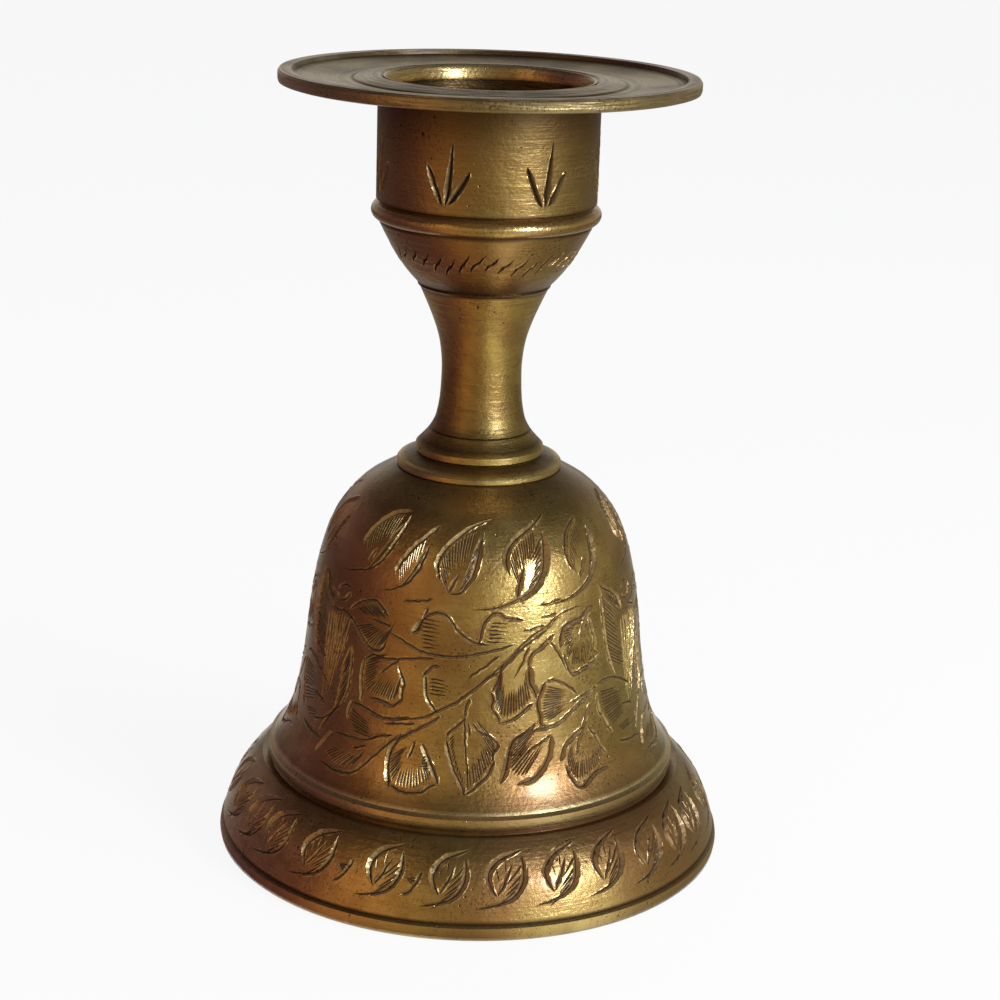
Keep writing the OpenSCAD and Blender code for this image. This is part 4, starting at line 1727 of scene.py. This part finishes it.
@dataclass(frozen=True)
class Cards:
    """A ring of toned cards round the object, for its metal to mirror.

    Their colours go by the angle round the object in degrees. Their strength goes by the rise,
    a share of a right angle, and by the distance in millimetres.
    """

    colours: tuple[tuple[float, Colour], ...] = (
        (-180, (0.8, 0.77, 0.7)), (-165, (0.46, 0.42, 0.39)), (-148, (0.25, 0.18, 0.17)),
        (-120, (0.16, 0.08, 0.1)), (-95, (0.13, 0.05, 0.07)), (-72, (0.24, 0.085, 0.075)),
        (-50, (0.72, 0.37, 0.14)), (-32, (0.52, 0.31, 0.12)), (-12, (0.36, 0.25, 0.11)),
        (5, (0.42, 0.32, 0.15)), (14, (0.66, 0.56, 0.3)), (30, (1.15, 1.12, 0.75)),
        (50, (1.5, 1.5, 1.15)), (68, (0.68, 0.62, 0.4)), (90, (0.38, 0.34, 0.19)),
        (120, (0.29, 0.26, 0.15)), (148, (0.33, 0.31, 0.22)), (165, (0.48, 0.46, 0.4)),
        (180, (0.8, 0.77, 0.7)),
    )
    tone_by_rise: tuple[Point, ...] = (
        (0.0, 1.0), (0.05, 1.2), (0.15, 1.08), (0.28, 0.64), (0.4, 0.22), (0.7, 0.11), (1.0, 0.1),
    )
    tone_by_reach: tuple[Point, ...] = (
        (0.0, 0.85), (60.0, 0.85), (100.0, 0.7), (160.0, 0.56), (220.0, 0.54), (290.0, 0.56),
        (350.0, 0.68), (400.0, 0.6), (440.0, 0.14), (570.0, 0.14), (640.0, 0.95),
    )
    outline: Line = (
        (30.02, 0.1), (150.0, 0.3), (560.0, 0.6), (650.0, 60.0), (650.0, 280.0), (500.0, 500.0),
        (250.0, 620.0), (0.1, 650.0),
    )
    turns: int = 120
    near_mm: float = 25.0

    def mesh(self) -> bpy.types.Mesh:
        """Makes the cards as one turned mesh.

        Returns:
            The mesh.
        """
        turns = self.turns
        around = [2 * math.pi * k / turns for k in range(turns)]
        spots = [
            (r * MM * math.sin(a), -r * MM * math.cos(a), z * MM)
            for r, z in self.outline
            for a in around
        ]
        faces = []
        for low in range(0, turns * (len(self.outline) - 1), turns):
            for k in range(turns):
                after = (k + 1) % turns
                faces.append((low + k, low + after, low + turns + after, low + turns + k))
        made = bpy.data.meshes.new("reflector cards")
        made.from_pydata(spots, [], faces)
        return made

    def finish(self) -> bpy.types.Material:
        """Makes the glow of the cards. Close to the foot their angles are widened.

        Returns:
            The material.
        """
        made = bpy.data.materials.new("toned cards")
        s = emptied(made)
        spot = s.add("ShaderNodeTexCoord").outputs["Object"]
        part = s.add("ShaderNodeSeparateXYZ", {0: spot}).outputs
        turn = s.math("ARCTAN2", part[0], s.times(part[1], -1.0))
        away = s.add("ShaderNodeVectorMath", {0: spot}, operation="LENGTH").outputs["Value"]
        spread = s.over(away, s.minus(away, self.near_mm / 2 * MM))
        share = s.plus(s.over(s.times(turn, spread), 2 * math.pi), 0.5, clamp=True)
        colour = s.ramp(share, [((angle + 180) / 360, colour) for angle, colour in self.colours])
        rise = s.over(s.math("ARCSINE", s.over(part[2], away)), math.pi / 2)
        widest = self.tone_by_reach[-1][0]
        reach = s.over(away, widest * MM, clamp=True)
        by_reach = s.ramp(reach, [(p / widest, v) for p, v in self.tone_by_reach])
        tone = s.times(s.ramp(rise, self.tone_by_rise), by_reach)
        glow = s.add("ShaderNodeEmission", {"Color": colour, "Strength": tone})
        s.add("ShaderNodeOutputMaterial", {0: glow.outputs[0]})
        return made

    def stand(self) -> None:
        """Stands the cards round the object, seen only in reflections."""
        ring = placed("reflector_cards", self.mesh())
        ring.data.materials.append(self.finish())
        for rays in ("camera", "diffuse", "shadow", "transmission"):
            setattr(ring, f"visible_{rays}", False)


@dataclass(frozen=True)
class Studio:
    """Pale floor, soft surround, lamps and cards, and the camera."""

    distance: float = 253.2
    height: float = 120.0
    pitch: float = 17.229
    yaw: float = 0.605
    roll: float = 1.905
    focal_px: float = 2272.7
    centre_px: Point = (500.6, 500.4)
    picture_px: float = 1000.0
    sensor_mm: float = 36.0
    seen_m: Point = (0.01, 20.0)
    soft_light: Colour = (0.9, 0.92, 1.0)
    soft_strength: float = 0.38
    floor_half: float = 3.0
    floor_grey: Colour = (0.85, 0.85, 0.85)
    floor_white: float = 0.9

    def camera(self) -> None:
        """Places the camera as the photograph was taken."""
        p, y, r = (math.radians(a) for a in (self.pitch, self.yaw, self.roll))
        ahead = Vector((math.sin(y) * math.cos(p), math.cos(y) * math.cos(p), -math.sin(p)))
        right = Vector((math.cos(y), -math.sin(y), 0))
        up = right.cross(ahead)
        turned = (math.cos(r) * right + math.sin(r) * up, math.cos(r) * up - math.sin(r) * right, -ahead)
        lens = bpy.data.cameras.new("camera")
        lens.sensor_width = self.sensor_mm
        lens.lens = self.focal_px / self.picture_px * lens.sensor_width
        lens.shift_x = (self.picture_px / 2 - self.centre_px[0]) / self.picture_px
        lens.shift_y = (self.centre_px[1] - self.picture_px / 2) / self.picture_px
        lens.clip_start, lens.clip_end = self.seen_m
        place = Matrix.Identity(4)
        for k, axis in enumerate(turned):
            place.col[k].xyz = axis
        place.translation = (0, -self.distance * MM, self.height * MM)
        eye = placed("camera", lens)
        eye.matrix_world = place
        bpy.context.scene.camera = eye

    @staticmethod
    def seen(s: Nodes) -> bpy.types.NodeSocket:
        """Gives 1 where the camera, a reflection or glass sees the background.

        Args:
            s: The helper of the material's or world's tree.

        Returns:
            The socket with 1 or 0.
        """
        path = s.add("ShaderNodeLightPath").outputs
        first = s.math("MAXIMUM", path["Is Camera Ray"], path["Is Glossy Ray"])
        return s.math("MAXIMUM", first, path["Is Transmission Ray"])

    def world(self) -> None:
        """Makes a plain soft surround that is seen as white."""
        made = bpy.data.worlds.new("studio")
        bpy.context.scene.world = made
        s = emptied(made)
        soft = s.add("ShaderNodeBackground", {"Color": self.soft_light, "Strength": self.soft_strength})
        white = s.add("ShaderNodeBackground", {"Color": WHITE, "Strength": 1.0})
        mixed = s.add("ShaderNodeMixShader", {0: self.seen(s), 1: soft.outputs[0], 2: white.outputs[0]})
        s.add("ShaderNodeOutputWorld", {0: mixed.outputs[0]})

    def floor(self) -> None:
        """Lays a pale floor that keeps the shadow of the object and is clear from below."""
        w = self.floor_half
        mesh = bpy.data.meshes.new("floor")
        mesh.from_pydata([(-w, -w, 0), (w, -w, 0), (w, w, 0), (-w, w, 0)], [], [(0, 1, 2, 3)])
        floor = placed("floor", mesh)
        finish = bpy.data.materials.new("pale floor")
        s = emptied(finish)
        matt = s.add("ShaderNodeBsdfDiffuse", {"Color": self.floor_grey})
        white = s.add("ShaderNodeEmission", {"Color": WHITE, "Strength": 1.0})
        share = s.times(self.seen(s), self.floor_white)
        mixed = s.add("ShaderNodeMixShader", {0: share, 1: matt.outputs[0], 2: white.outputs[0]})
        under = s.add("ShaderNodeNewGeometry").outputs["Backfacing"]
        clear = s.add("ShaderNodeBsdfTransparent")
        shown = s.add("ShaderNodeMixShader", {0: under, 1: mixed.outputs[0], 2: clear.outputs[0]})
        s.add("ShaderNodeOutputMaterial", {0: shown.outputs[0]})
        mesh.materials.append(finish)

    def build(self) -> None:
        """Sets up the whole studio."""
        bpy.context.scene.view_settings.view_transform = "Standard"
        self.camera()
        self.world()
        self.floor()
        Cards().stand()
        for lamp in LAMPS:
            lamp.hang()
        LOG.info("the studio has %d lamps", len(LAMPS))


def dress(nodes: dict[str, bpy.types.Object], effects: Effects) -> None:
    """Gives the kept solids their finish.

    Args:
        nodes: The solids of the frame.
        effects: The shared shader groups.
    """
    made: dict[str, bpy.types.Material] = {}
    for name, finish in FINISHES.items():
        if finish.name not in made:
            made[finish.name] = finish.build(effects)
        mesh = nodes[name].data
        mesh.materials.clear()
        mesh.materials.append(made[finish.name])
        LOG.info("%s has the finish %s", name, finish.name)


def main() -> None:
    """Builds and dresses the candlestick, then the studio round it."""
    logging.basicConfig(level=logging.INFO, format="%(name)s: %(message)s")
    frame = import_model()
    effects = Effects()
    dress(frame["nodes"], effects)
    tree = ring_tree()
    for made, brass in ((Bell(), BELL_BRASS), (CandleCup(), CUP_BRASS)):
        piece = made.build(tree, brass.build(effects))
        LOG.info("%s has %d faces", piece.name, len(piece.data.polygons))
    Studio().build()


if __name__ == "__main__":
    main()
